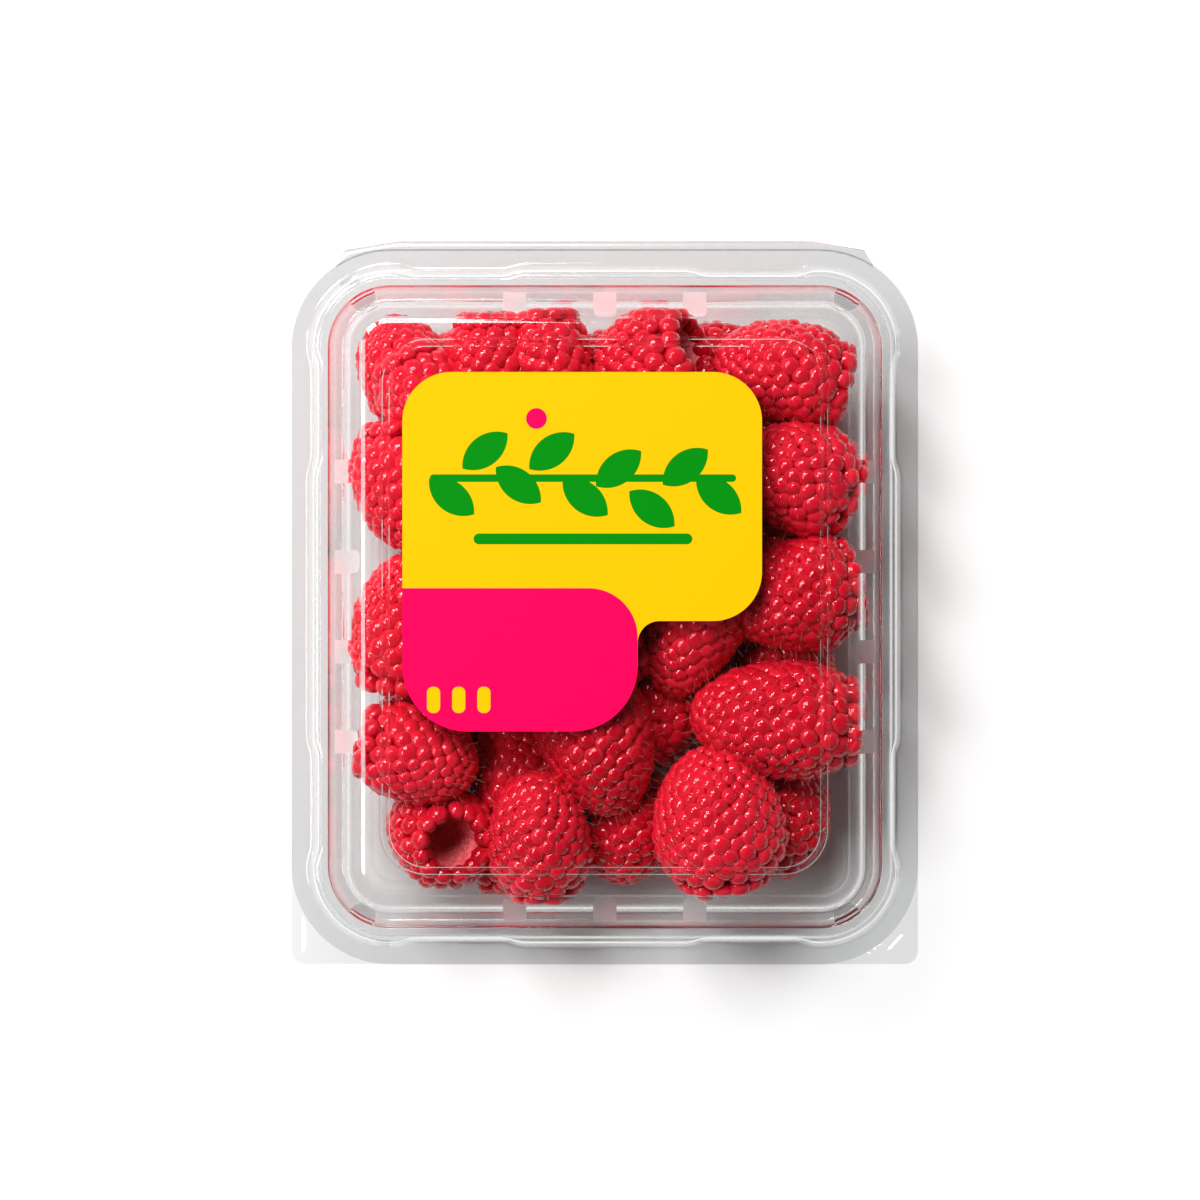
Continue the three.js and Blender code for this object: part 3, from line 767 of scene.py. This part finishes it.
def inset_at(point):
    """How far a point lies inside the outline of the flanges."""
    across = abs(point.x - MIDDLE.x) - HALF_WIDTH + CORNER_RADIUS
    along = abs(point.y - MIDDLE.y) - HALF_DEPTH + CORNER_RADIUS
    return CORNER_RADIUS - math.hypot(max(across, 0), max(along, 0)) - min(max(across, along), 0)


def mark_dull(mesh):
    """Marks the drawn wall and the floor of the tray, which are less clear than its bead and flange."""
    marks = []
    for vertex in mesh.vertices:
        below_bead = 1 - smooth(vertex.co.z, TRAY_FLANGE + 1.0 * MM, TRAY_FLANGE + 1.7 * MM)
        marks.append(below_bead * smooth(inset_at(vertex.co), 6.3 * MM, 6.8 * MM))
    mesh.attributes.new("dull", "FLOAT", "POINT").data.foreach_set("value", marks)


def make_tray(sizes, material):
    corner = sizes.corner
    smallest = 0.8 * MM

    def radius_at(inset):
        return max(corner - inset, smallest)

    def front_radius_at(inset):
        """The pull tabs' small corners widen evenly into the pack's own corners."""
        share = min(max(inset, 0) / TAB_REACH, 1)
        return sizes.tab_corner * (1 - share) + radius_at(inset) * share

    rings = sheet_rings(tray_path(sizes), sizes.sheet, radius_at, front_radius_at, tray_press)
    tray = new_object("tray_shell", ring_mesh("tray_shell", rings), material)
    mark_dull(tray.data)
    shade(tray)
    return tray


def hinge_places(sizes):
    """Places across the hinge strip: x, the flanges' edge there, and how far out the fold lies."""
    half_fold = sizes.hinge_width / 2
    shoulder = half_fold + HINGE_SLANT
    half_end = shoulder + HINGE_END
    steps = 40
    xs = [half_end * (2 * step / steps - 1) for step in range(steps + 1)]
    xs += [side * x for side in (-1, 1) for x in (half_fold, shoulder)]
    straight = HALF_WIDTH - sizes.corner
    places = []
    for x in sorted(xs):
        beyond = max(abs(x) - straight, 0.0)
        drop = sizes.corner - math.sqrt(sizes.corner**2 - beyond**2)
        edge = MIDDLE.y + HALF_DEPTH - drop - HINGE_TUCK
        slant = min(max((abs(x) - half_fold) / HINGE_SLANT, 0.0), 1.0)
        end = max((abs(x) - shoulder) / HINGE_END, 0.0)
        fold = HINGE_BACK - HINGE_DROP * slant
        places.append((MIDDLE.x + x, edge, fold + (edge + HINGE_LEAST - fold) * end))
    return places


def make_hinge(sizes, material):
    """The folded strip that joins the two flanges, a thin film bent round the hinge's line."""
    joint_low = TRAY_FLANGE - HINGE_OVERLAP
    joint_high = LID_FLANGE + HINGE_OVERLAP
    middle = (joint_low + joint_high) / 2
    rise = (joint_high - joint_low) / 2
    bend = 14
    rings = []
    for x, edge, fold in hinge_places(sizes):
        outer = []
        inner = []
        for step in range(bend + 1):
            angle = math.pi * (step / bend - 0.5)
            run = math.cos(angle) ** HINGE_FULLNESS if 0 < step < bend else 0
            y = edge + (fold - HINGE_FILM - edge) * run
            outward = Vector((0, math.cos(angle) if run else 0, math.sin(angle)))
            inner.append(Vector((x, y, middle + rise * math.sin(angle))))
            outer.append(inner[-1] + HINGE_FILM * outward)
        rings.append(outer + inner[::-1])
    shape = bmesh.new()
    solid(shape, rings)
    bmesh.ops.recalc_face_normals(shape, faces=shape.faces)
    hinge = new_object("hinge_film", mesh_from(shape, "hinge_film"), material)
    shade(hinge)
    return hinge


def rounded_box(x, y, left, right, bottom, top, radius):
    """Distance from a rounded rectangle's edge, less than 0 inside, in the same unit as x and y."""
    across = abs(x - (left + right) / 2) - ((right - left) / 2 - radius)
    along = abs(y - (bottom + top) / 2) - ((top - bottom) / 2 - radius)
    outside = (across.highest(0.0) ** 2 + along.highest(0.0) ** 2) ** 0.5
    return outside + across.highest(along).lowest(0.0) - radius


def leaf(x, y, centre_x, centre_y, long, wide, turn):
    """Distance from a pointed leaf's edge, less than 0 inside."""
    angle = math.radians(turn)
    dx = x - centre_x
    dy = y - centre_y
    along = dx * math.cos(angle) + dy * math.sin(angle)
    across = dy * math.cos(angle) - dx * math.sin(angle)
    half_long, half_wide = long / 2, wide / 2
    radius = (half_long**2 + half_wide**2) / (2 * half_wide)
    offset = radius - half_wide
    return (along**2 + (abs(across) + offset) ** 2) ** 0.5 - radius


def disc(x, y, centre_x, centre_y, radius):
    return ((x - centre_x) ** 2 + (y - centre_y) ** 2) ** 0.5 - radius


def label_material(colours):
    """The label's print: a yellow field with a green sprig, and a magenta foot with yellow bars."""
    shader = Shader("label_print")
    place = shader.place()
    x, y = [shader.node("ShaderNodeSeparateXYZ", inputs={0: place}, output=axis) for axis in "XY"]
    x = x / MM
    y = (y - MIDDLE.y) / MM
    soft = 0.05

    def paint(base, shapes, tone):
        distance = functools.reduce(Term.lowest, shapes)
        return shader.blend((distance / soft * -1 + 0.5).lowest(1.0).highest(0.0), base, tone)

    sprig = [rounded_box(x, y, -32, 24, 22.8, 24.2, 0.7)]
    for index in range(9):
        side = 1 if index % 2 else -1
        centre_y = 23.5 + 2.2 * math.sin(index * 0.8) + side * 3.4
        sprig.append(leaf(x, y, -28 + 6.1 * index, centre_y, 10.5, 5.6, 38 * side))
    underline = rounded_box(x, y, -24, 16, 11.4, 13.4, 1)
    bars = [rounded_box(x, y, -32.5 + shift, -30.1 + shift, -19.4, -14.6, 1.1) for shift in (0, 4.6, 9.2)]
    print_tone = paint(colours.yellow, [rounded_box(x, y, -60, 6, -60, 3.4, 9)], colours.magenta)
    print_tone = paint(print_tone, sprig + [underline], colours.green)
    print_tone = paint(print_tone, [disc(x, y, -12.5, 34.4, 1.9)], colours.magenta)
    print_tone = paint(print_tone, bars, colours.yellow)
    fibre = shader.noise(place, 900.0, 3.0)
    return shader.finish(shader.principled({
        "Base Color": print_tone,
        "Roughness": 0.42 + fibre * 0.1,
        "Specular IOR Level": 0.05,
        "Normal": shader.bump(fibre, 0.06, 0.05 * MM),
    }))


def berry_frame(berry):
    """The turn and place that stand a berry, drawn along +Z with its tip up, where it lies in the heap."""
    turn = Euler((0, math.radians(90 - berry["lift"]), math.radians(berry["yaw"])), "XYZ")
    place = Vector((berry["x"], berry["y"], berry["z"])) * MM + Vector((0, MIDDLE.y, 0))
    return Matrix.Translation(place) @ turn.to_matrix().to_4x4()


class Berry:
    """One berry's own outline and the small ways in which it differs from a perfect one."""

    def __init__(self, row, draw):
        self.half = row["long"] * MM / 2
        self.radius = row["wide"] * MM / 2
        self.place = berry_frame(row)
        self.squash = draw.uniform(-0.05, 0.05)
        self.lobes = [(count, draw.uniform(0, math.tau), draw.uniform(0.01, 0.028)) for count in (2, 3, 5)]
        # Painted shade: darker towards the front right, away from the lamps, and in the lower layer; the
        # random draw is the berry's own ripeness
        ripe_and_shade = RIPE_AND_SHADE_MIDDLE + (row["x"] - row["y"]) * SHADE_SLOPE
        if row["z"] < LAYER_HEIGHT:
            ripe_and_shade += LOWER_LAYER_SHADE
        self.ripe_and_shade = row.get("ripe_and_shade", ripe_and_shade) + draw.uniform(-0.2, 0.2)
        self.scale = draw.uniform(0.95, 1.08)
        self.taper = draw.uniform(0.12, 0.32)
        self.spin = draw.uniform(0, math.tau)

    def around(self, share):
        """Radius at a share of the half length, from -1 at the crown to 1 at the tip."""
        blunt = max(0.0, 1 - abs(share) ** BERRY_FULLNESS)
        return self.radius * math.sqrt(blunt) * (1 - self.taper * share) / (1 + self.taper * 0.2)

    def surface(self, share, angle, sunk=0.0):
        """A point of the outline and its outward direction, in the berry's own axes."""
        step = 0.01
        widening = self.around(min(share + step, 1)) - self.around(max(share - step, -1))
        slope = widening / (2 * step * self.half)
        outward = Vector((math.cos(angle), math.sin(angle), -slope)).normalized()
        waves = sum(size * math.sin(count * angle + phase) for count, phase, size in self.lobes)
        reach = self.around(share) * (1 + waves * (1 - abs(share)))
        spot = Vector((
            reach * math.cos(angle) * (1 + self.squash),
            reach * math.sin(angle) * (1 - self.squash),
            share * self.half,
        ))
        return spot - outward * sunk, outward

    def reach(self, spot):
        """How far out a spot lies, about 1 on the outline."""
        along = spot.z / self.half
        across = math.hypot(spot.x, spot.y) / (self.radius * (1 - self.taper * along))
        return (across**2 + abs(along) ** BERRY_FULLNESS) ** (2 / (2 + BERRY_FULLNESS))

    def slide(self, spot, push):
        """Share and angle of the outline's point where a push takes a spot of the outline."""
        moved = spot + push
        share = moved.z / self.half * self.reach(spot) / self.reach(moved)
        angle = math.atan2(moved.y / (1 - self.squash), moved.x / (1 + self.squash))
        return min(max(share, CROWN_SHARE), TIP_SHARE), angle


def crown_spots(berry, width, draw):
    """The ring of drupelets round a berry's open end."""
    mouth = berry.around(CROWN_SHARE)
    size = width * berry.scale * 1.15
    count = max(8, round(math.tau * mouth * 0.9 / (size * 0.92)))
    spots = []
    for index in range(count):
        angle = berry.spin + math.tau * (index + draw.uniform(-0.15, 0.15)) / count
        around = Vector((math.cos(angle), math.sin(angle), 0))
        outward = (around * 0.75 + Vector((0, 0, -0.66))).normalized()
        spot = around * mouth * 0.9 + Vector((0, 0, -berry.half * 0.84)) - outward * size * 0.1
        spots.append((spot, outward, size * draw.uniform(0.88, 1.06)))
    return spots


def spiral_places(berry, width, draw):
    """Share, angle and size of drupelets in a loose spiral from the tip to the crown."""
    places = []
    share = TIP_SHARE
    index = 0
    while share > CROWN_SHARE + 0.06:
        size = width * berry.scale * (1.0 - 0.22 * share) * draw.uniform(0.82, 1.14)
        angle = berry.spin + index * GOLDEN_TURN + draw.uniform(-0.12, 0.12)
        places.append((share, angle, size))
        step = 0.01
        ring = max(berry.around(share), size * 0.35)
        drop = (berry.around(share - step) - berry.around(share)) / (step * berry.half)
        lean = math.sqrt(1 + drop * drop)
        share -= PACKING * size * size / (math.tau * ring * lean * berry.half)
        index += 1
    return places


def drupelet_spots(berry, width, draw):
    """Place, direction and size of each drupelet, after they have pushed one another apart evenly."""
    nearby, spacing, give = 1.5, 1.08, 0.4
    crown = crown_spots(berry, width, draw)
    places = spiral_places(berry, width, draw)
    for _ in range(PUSH_ROUNDS):
        spots = [berry.surface(share, angle)[0] for share, angle, _ in places]
        fixed = [spot for spot, _, _ in crown]
        sizes = [size for _, _, size in places] + [size for _, _, size in crown]
        tree = KDTree(len(spots) + len(fixed))
        for index, spot in enumerate(spots + fixed):
            tree.insert(spot, index)
        tree.balance()
        moved = []
        for index, spot in enumerate(spots):
            push = Vector((0, 0, 0))
            for other, other_index, distance in tree.find_range(spot, sizes[index] * nearby):
                rest = (sizes[index] + sizes[other_index]) / 2 * spacing
                if 0 < distance < rest:
                    push += (spot - other) * ((rest - distance) / distance)
            share, angle = berry.slide(spot, push * give)
            moved.append((share, angle, sizes[index]))
        places = moved
    spots = []
    for share, angle, size in places:
        spot, outward = berry.surface(share, angle, size * SUNK_SHARE)
        spots.append((spot, outward, size))
    return spots + crown


def points_mesh(name, rows):
    """A mesh of loose points that carry a turn, a size, and a share of ripeness and painted shade."""
    spots, turns, sizes, ripe_and_shade_values = zip(*rows)
    mesh = bpy.data.meshes.new(name)
    mesh.from_pydata(spots, [], [])
    for label, vectors in (("turn", turns), ("size", sizes)):
        numbers = [number for vector in vectors for number in vector]
        mesh.attributes.new(label, "FLOAT_VECTOR", "POINT").data.foreach_set("vector", numbers)
    mesh.attributes.new("ripe_and_shade", "FLOAT", "POINT").data.foreach_set("value", ripe_and_shade_values)
    return mesh


class Growth(Nodes):
    """A Geometry Nodes tree that sets one small shape on each point."""

    def __init__(self, name):
        super().__init__(bpy.data.node_groups.new(name, "GeometryNodeTree"))
        self.tree.is_modifier = True
        for way in ("INPUT", "OUTPUT"):
            self.tree.interface.new_socket("Geometry", in_out=way, socket_type="NodeSocketGeometry")
        self.entry = self.tree.nodes.new("NodeGroupInput")
        self.exit = self.tree.nodes.new("NodeGroupOutput")

    def input(self, name, kind):
        self.tree.interface.new_socket(name, in_out="INPUT", socket_type="NodeSocket" + kind)
        return Term(self, self.entry.outputs[name])

    def vector(self, name):
        return self.node("GeometryNodeInputNamedAttribute", {"data_type": "FLOAT_VECTOR"}, {"Name": name})

    def height(self):
        place = self.node("GeometryNodeInputPosition")
        return self.node("ShaderNodeSeparateXYZ", inputs={0: place}, output=2)

    def mark(self, shape, name, value):
        """Keeps a value on each corner of a shape under a name."""
        settings = {"data_type": "FLOAT", "domain": "POINT"}
        inputs = {"Geometry": shape, "Name": name, "Value": value}
        return self.node("GeometryNodeStoreNamedAttribute", settings, inputs)

    def finish(self, shape, size, material):
        """The tree, with the shape at this size on each point."""
        points = Term(self, self.entry.outputs["Geometry"])
        inputs = {"Points": points, "Instance": shape, "Rotation": self.vector("turn"), "Scale": size}
        instances = self.node("GeometryNodeInstanceOnPoints", inputs=inputs)
        real = self.node("GeometryNodeRealizeInstances", inputs={"Geometry": instances})
        shaded = self.node("GeometryNodeSetShadeSmooth", inputs={"Geometry": real})
        done = self.node("GeometryNodeSetMaterial", inputs={"Geometry": shaded, "Material": material})
        self.feed(self.exit.inputs[0], done)
        return self.tree


def drupelet_tree():
    """Sets a small rounded drupelet on each point, and marks how high each of its corners stands."""
    growth = Growth("Drupelets")
    rounds = growth.input("Rounds", "Int")
    seed = growth.input("Seed", "Int")
    uneven = growth.input("Unevenness", "Float")
    material = growth.input("Material", "Material")
    ball = growth.node("GeometryNodeMeshIcoSphere", inputs={"Radius": 1.0, "Subdivisions": rounds})
    marked = growth.mark(ball, "height", growth.height())
    low, high = [
        growth.node("ShaderNodeCombineXYZ", inputs={axis: limit for axis in range(3)})
        for limit in (1.0 - uneven, 1.0 + uneven)
    ]
    limits = {"Min": low, "Max": high, "Seed": seed}
    wobble = growth.node("FunctionNodeRandomValue", {"data_type": "FLOAT_VECTOR"}, limits)
    scales = {0: growth.vector("size"), 1: wobble}
    size = growth.node("ShaderNodeVectorMath", {"operation": "MULTIPLY"}, scales)
    return growth.finish(marked, size, material)


def hair_tree():
    """Sets a thin bent hair on each point, and marks how far along it each corner is."""
    growth = Growth("Hairs")
    sides = growth.input("Sides", "Int")
    steps = growth.input("Steps", "Int")
    bend = growth.input("Bend", "Float")
    material = growth.input("Material", "Material")
    spike = growth.node(
        "GeometryNodeMeshCone",
        {"fill_type": "NONE"},
        {"Vertices": sides, "Side Segments": steps, "Radius Top": 0.25, "Radius Bottom": 1.0, "Depth": 1.0},
    )
    along = growth.height()
    marked = growth.mark(spike, "along_hair", along)
    offset = growth.node("ShaderNodeCombineXYZ", inputs={0: along * along * bend})
    bent = growth.node("GeometryNodeSetPosition", inputs={"Geometry": marked, "Offset": offset})
    return growth.finish(bent, growth.vector("size"), material)


def grow(name, mesh, tree, values):
    """A plain mesh grown from points by a tree, whose inputs are set by their sockets' identifiers."""
    piece = new_object(name, mesh)
    change = piece.modifiers.new(tree.name, "NODES")
    change.node_group = tree
    for socket in tree.interface.items_tree:
        if socket.in_out == "INPUT" and socket.name in values:
            change[socket.identifier] = values[socket.name]
    settle(piece, values["Material"])
    return piece


def facing(direction, roll):
    """The turn that points +Z along a direction, after a roll about it."""
    return (direction.to_track_quat("Z", "Y") @ Euler((0, 0, roll)).to_quaternion()).to_euler()


def drupelet_rows(berry, width, draw):
    rows = []
    turn = berry.place.to_3x3()
    for spot, outward, size in drupelet_spots(berry, width, draw):
        lean = Vector([draw.uniform(-0.1, 0.1) for _ in range(3)])
        direction = (turn @ outward + lean).normalized()
        wide = size * 0.62
        widths = [wide * draw.uniform(0.9, 1.1) for _ in range(2)]
        row_size = (*widths, size * draw.uniform(0.48, 0.58))
        # Each drupelet's share of ripeness and painted shade
        ripe_and_shade = min(max(berry.ripe_and_shade + draw.uniform(-0.25, 0.25), 0), 1)
        rows.append((berry.place @ spot, facing(direction, draw.uniform(0, math.tau)), row_size, ripe_and_shade))
    return rows


def inside_pack(point):
    """Whether a point is well inside the shut pack's walls, floor and dome."""
    tray_wall, tray_slope, lid_wall = 14.4 * MM, 0.24, 12 * MM
    floor, dome = 1 * MM, PANEL_TOP - 1.6 * MM
    wall = tray_wall - tray_slope * point.z if point.z < TRAY_FLANGE + 1 * MM else lid_wall
    return inset_at(point) > wall and floor < point.z < dome


def hair_rows(berry, width, long, wide, draw):
    rows = []
    turn = berry.place.to_3x3()
    for spot, outward, size in drupelet_spots(berry, width, draw):
        if draw.random() > 0.7:
            continue
        lean = Vector([draw.uniform(-0.45, 0.45) for _ in range(3)])
        direction = (turn @ outward + lean).normalized()
        root = berry.place @ (spot + outward * size * SUNK_SHARE)
        reach = long * draw.uniform(0.45, 1.0)
        if not inside_pack(root + direction * reach):
            continue
        turned = facing(direction, draw.uniform(0, math.tau))
        rows.append((root, turned, (wide / 2, wide / 2, reach), berry.ripe_and_shade))
    return rows


def berry_rings(berry, width, steps):
    """Rings of a berry's outer wall from its tip, then of its tapering hollow, each with a mark."""
    angles = [math.tau * step / steps for step in range(steps)]
    sunk = width * berry.scale * SUNK_SHARE
    rings = []
    for step in range(11):
        share = 0.93 - (0.93 - CROWN_SHARE) * step / 10
        rings.append(([berry.surface(share, angle, sunk)[0] for angle in angles], 0.0))
    mouth = berry.radius * MOUTH_SHARE
    for depth, narrow, mark in ((-0.86, 1.1, 0.1), (-0.74, 1.0, 0.2), (-0.4, 0.86, 0.45), (0.0, 0.6, 0.75)):
        spots = []
        for angle in angles:
            reach = mouth * narrow * (1 + 0.05 * math.sin(angle * 9 + berry.spin))
            spots.append(Vector((reach * math.cos(angle), reach * math.sin(angle), berry.half * depth)))
        rings.append((spots, mark))
    tip = [Vector((0, 0, berry.half * 0.97 - sunk))]
    end = [Vector((0, 0, 0.24 * berry.half))]
    return [(tip, 0.0), *rings, (end, 1.0)]


def berry_bodies_mesh(name, berries, width):
    """The berries under their drupelets: an outer wall that turns in at the crown to a tapering hollow."""
    steps = 24
    shape = bmesh.new()
    inside = shape.verts.layers.float.new("inside")
    for berry in berries:
        rows = []
        for spots, mark in berry_rings(berry, width, steps):
            rows.append([shape.verts.new(berry.place @ spot) for spot in spots])
            for corner in rows[-1]:
                corner[inside] = mark
        (tip,), *rows, (end,) = rows
        band(shape, rows)
        for i in range(steps):
            j = (i + 1) % steps
            shape.faces.new((tip, rows[0][i], rows[0][j]))
            shape.faces.new((end, rows[-1][j], rows[-1][i]))
    mesh = mesh_from(shape, name)
    mesh.shade_smooth()
    return mesh


def draw_berries(seed):
    """The heap's berries, each with a random stream of its own."""
    berries = []
    for index, values in enumerate(BERRIES):
        draw = random.Random(seed * 1000 + index)
        berries.append((Berry(dict(zip(BERRY_COLUMNS, values)), draw), draw))
    return berries


def make_floor(colours):
    half = 1.5
    mesh = bpy.data.meshes.new("floor")
    corners = [(-half, -half, 0), (half, -half, 0), (half, half, 0), (-half, half, 0)]
    mesh.from_pydata(corners, [], [(0, 1, 2, 3)])
    shader = Shader("floor")
    surface = shader.principled({"Base Color": colours.floor, "Roughness": 0.9})
    return new_object("floor", mesh, shader.finish(surface))


def add_lamp(name, place, size, power):
    light = bpy.data.lights.new(name, "AREA")
    light.shape = "RECTANGLE"
    light.size, light.size_y = size
    light.energy = power
    lamp = new_object(name, light)
    lamp.location = place
    lamp.rotation_euler = (LAMP_TARGET - Vector(place)).to_track_quat("-Z", "Y").to_euler()


def make_camera():
    """Straight above the punnet, framed as in the photograph, whose picture is 1200 pixels square."""
    picture = 1200
    pixels_per_mm = 5.4
    middle_x, middle_y = 604.8, 606.7
    shift_x = (middle_x - picture / 2) / pixels_per_mm * MM
    shift_y = (middle_y - picture / 2) / pixels_per_mm * MM
    view = bpy.data.cameras.new("camera")
    view.lens = 110.0
    view.sensor_width = 36.0
    view.sensor_fit = "HORIZONTAL"
    view.clip_start = 0.01
    distance = picture / pixels_per_mm * MM * view.lens / view.sensor_width
    camera = new_object("camera", view)
    camera.location = (MIDDLE.x - shift_x, MIDDLE.y + shift_y, LID_FLANGE + distance)
    bpy.context.scene.camera = camera


def make_world():
    """A white studio whose ceiling is left dark, so that it doesn't mirror in flat clear plastic."""
    world = bpy.data.worlds.new("studio")
    world.use_nodes = True
    nodes = Nodes(world.node_tree)
    direction = nodes.node("ShaderNodeTexCoord", output="Generated")
    up = nodes.node("ShaderNodeSeparateXYZ", inputs={0: direction}, output="Z")
    limits = {"Value": up, "From Min": 0.55, "From Max": 0.92, "To Min": 0.21, "To Max": 0.02}
    strength = nodes.node("ShaderNodeMapRange", {"interpolation_type": "SMOOTHSTEP"}, limits)
    background = world.node_tree.nodes["Background"]
    nodes.feed(background.inputs["Strength"], strength)
    nodes.feed(background.inputs["Color"], (1, 1, 1))
    bpy.context.scene.world = world


class PUNNET_OT_tray(bpy.types.Operator):
    """Build the clear tray"""

    bl_idname = "punnet.tray"
    bl_label = "Tray"

    def execute(self, context):
        tray = make_tray(context.scene.punnet_sizes, shared_sheet())
        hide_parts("tray")
        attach(tray, "punnet")
        return {"FINISHED"}


class PUNNET_OT_lid(bpy.types.Operator):
    """Build the clear lid with its vent slots"""

    bl_idname = "punnet.lid"
    bl_label = "Lid"

    def execute(self, context):
        lid = make_lid(context.scene.punnet_sizes, shared_sheet())
        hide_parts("lid")
        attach(lid, "lid")
        return {"FINISHED"}


class PUNNET_OT_hinge(bpy.types.Operator):
    """Build the folded strip between tray and lid"""

    bl_idname = "punnet.hinge"
    bl_label = "Hinge strip"

    def execute(self, context):
        material = clear_sheet_material(HINGE_MATERIAL, least_roughness=0.2)
        hinge = make_hinge(context.scene.punnet_sizes, material)
        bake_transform(hinge)
        return {"FINISHED"}


class PUNNET_OT_label(bpy.types.Operator):
    """Print the label"""

    bl_idname = "punnet.label"
    bl_label = "Label"

    def execute(self, context):
        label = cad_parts["label"]
        label.data.materials.clear()
        label.data.materials.append(label_material(context.scene.punnet_colours))
        return {"FINISHED"}


class PUNNET_OT_berries(bpy.types.Operator):
    """Grow the heap of raspberries"""

    bl_idname = "punnet.berries"
    bl_label = "Berries"

    def execute(self, context):
        scene = context.scene
        sizes = scene.berry_sizes
        colours = scene.punnet_colours
        skin = berry_skin_material(colours)
        body = berry_body_material(colours)
        berries = draw_berries(sizes.seed)
        bodies = berry_bodies_mesh("berry_bodies", [berry for berry, _ in berries], sizes.drupelet)
        pieces = [new_object("berry_bodies", bodies, body)]
        tree = drupelet_tree()
        groups = {
            "berries_outer": berries[:OUTER_BERRIES],
            "berries_middle": berries[OUTER_BERRIES:UPPER_BERRIES],
            "berries_lower": berries[UPPER_BERRIES:LOWER_SPLIT],
            "berries_deep": berries[LOWER_SPLIT:],
        }
        values = {"Rounds": 2, "Seed": sizes.seed, "Unevenness": 0.05, "Material": skin}
        for name, group in groups.items():
            rows = [row for berry, draw in group for row in drupelet_rows(berry, sizes.drupelet, draw)]
            pieces.append(grow(name, points_mesh(name, rows), tree, values))
        for piece in pieces:
            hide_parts("berries")
            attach(piece, "punnet")
        return {"FINISHED"}


class PUNNET_OT_hairs(bpy.types.Operator):
    """Grow the fine hairs on the berries"""

    bl_idname = "punnet.hairs"
    bl_label = "Hairs"

    def execute(self, context):
        scene = context.scene
        sizes = scene.berry_sizes
        material = hair_material(scene.punnet_colours)
        rows = []
        for berry, draw in draw_berries(sizes.seed):
            rows += hair_rows(berry, sizes.drupelet, sizes.hair_length, sizes.hair_width, draw)
        values = {"Sides": 3, "Steps": 3, "Bend": 6.0, "Material": material}
        hairs = grow("berry_hairs", points_mesh("berry_hairs", rows), hair_tree(), values)
        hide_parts("berries")
        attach(hairs, "punnet")
        return {"FINISHED"}


class PUNNET_OT_stage(bpy.types.Operator):
    """Set the pale floor, the soft lights and the camera"""

    bl_idname = "punnet.stage"
    bl_label = "Stage"

    def execute(self, context):
        scene = context.scene
        make_floor(scene.punnet_colours)
        for name, (place, size, power) in LAMPS.items():
            add_lamp(name, place, size, power)
        make_camera()
        make_world()
        scene.view_settings.view_transform = "Standard"
        cycles = scene.cycles
        cycles.use_denoising = True
        cycles.max_bounces = 8
        cycles.diffuse_bounces = 2
        cycles.glossy_bounces = 3
        cycles.transmission_bounces = 8
        cycles.transparent_max_bounces = 12
        return {"FINISHED"}


class PUNNET_PT_panel(bpy.types.Panel):
    """The punnet's operators, sizes and colours"""

    bl_idname = "PUNNET_PT_panel"
    bl_label = "Punnet of Raspberries"
    bl_space_type = "VIEW_3D"
    bl_region_type = "UI"
    bl_category = "Punnet"

    def draw(self, context):
        layout = self.layout
        for operator in OPERATORS:
            layout.operator(operator.bl_idname)
        for group, kind in SETTINGS.items():
            box = layout.box()
            for name in kind.__annotations__:
                box.prop(getattr(context.scene, group), name)


OPERATORS = (
    PUNNET_OT_stage,
    PUNNET_OT_tray,
    PUNNET_OT_lid,
    PUNNET_OT_hinge,
    PUNNET_OT_label,
    PUNNET_OT_berries,
    PUNNET_OT_hairs,
)
SETTINGS = {"punnet_sizes": PunnetSizes, "berry_sizes": BerrySizes, "punnet_colours": PunnetColours}
CLASSES = (*SETTINGS.values(), *OPERATORS, PUNNET_PT_panel)


def register():
    for cls in CLASSES:
        bpy.utils.register_class(cls)
    for name, kind in SETTINGS.items():
        setattr(bpy.types.Scene, name, PointerProperty(type=kind))


def unregister():
    for name in SETTINGS:
        delattr(bpy.types.Scene, name)
    for cls in reversed(CLASSES):
        bpy.utils.unregister_class(cls)


def main():
    register()
    bpy.ops.punnet.stage()
    bpy.ops.punnet.tray()
    bpy.ops.punnet.lid()
    bpy.ops.punnet.hinge()
    bpy.ops.punnet.label()
    bpy.ops.punnet.berries()
    bpy.ops.punnet.hairs()


if __name__ == "__main__":
    main()
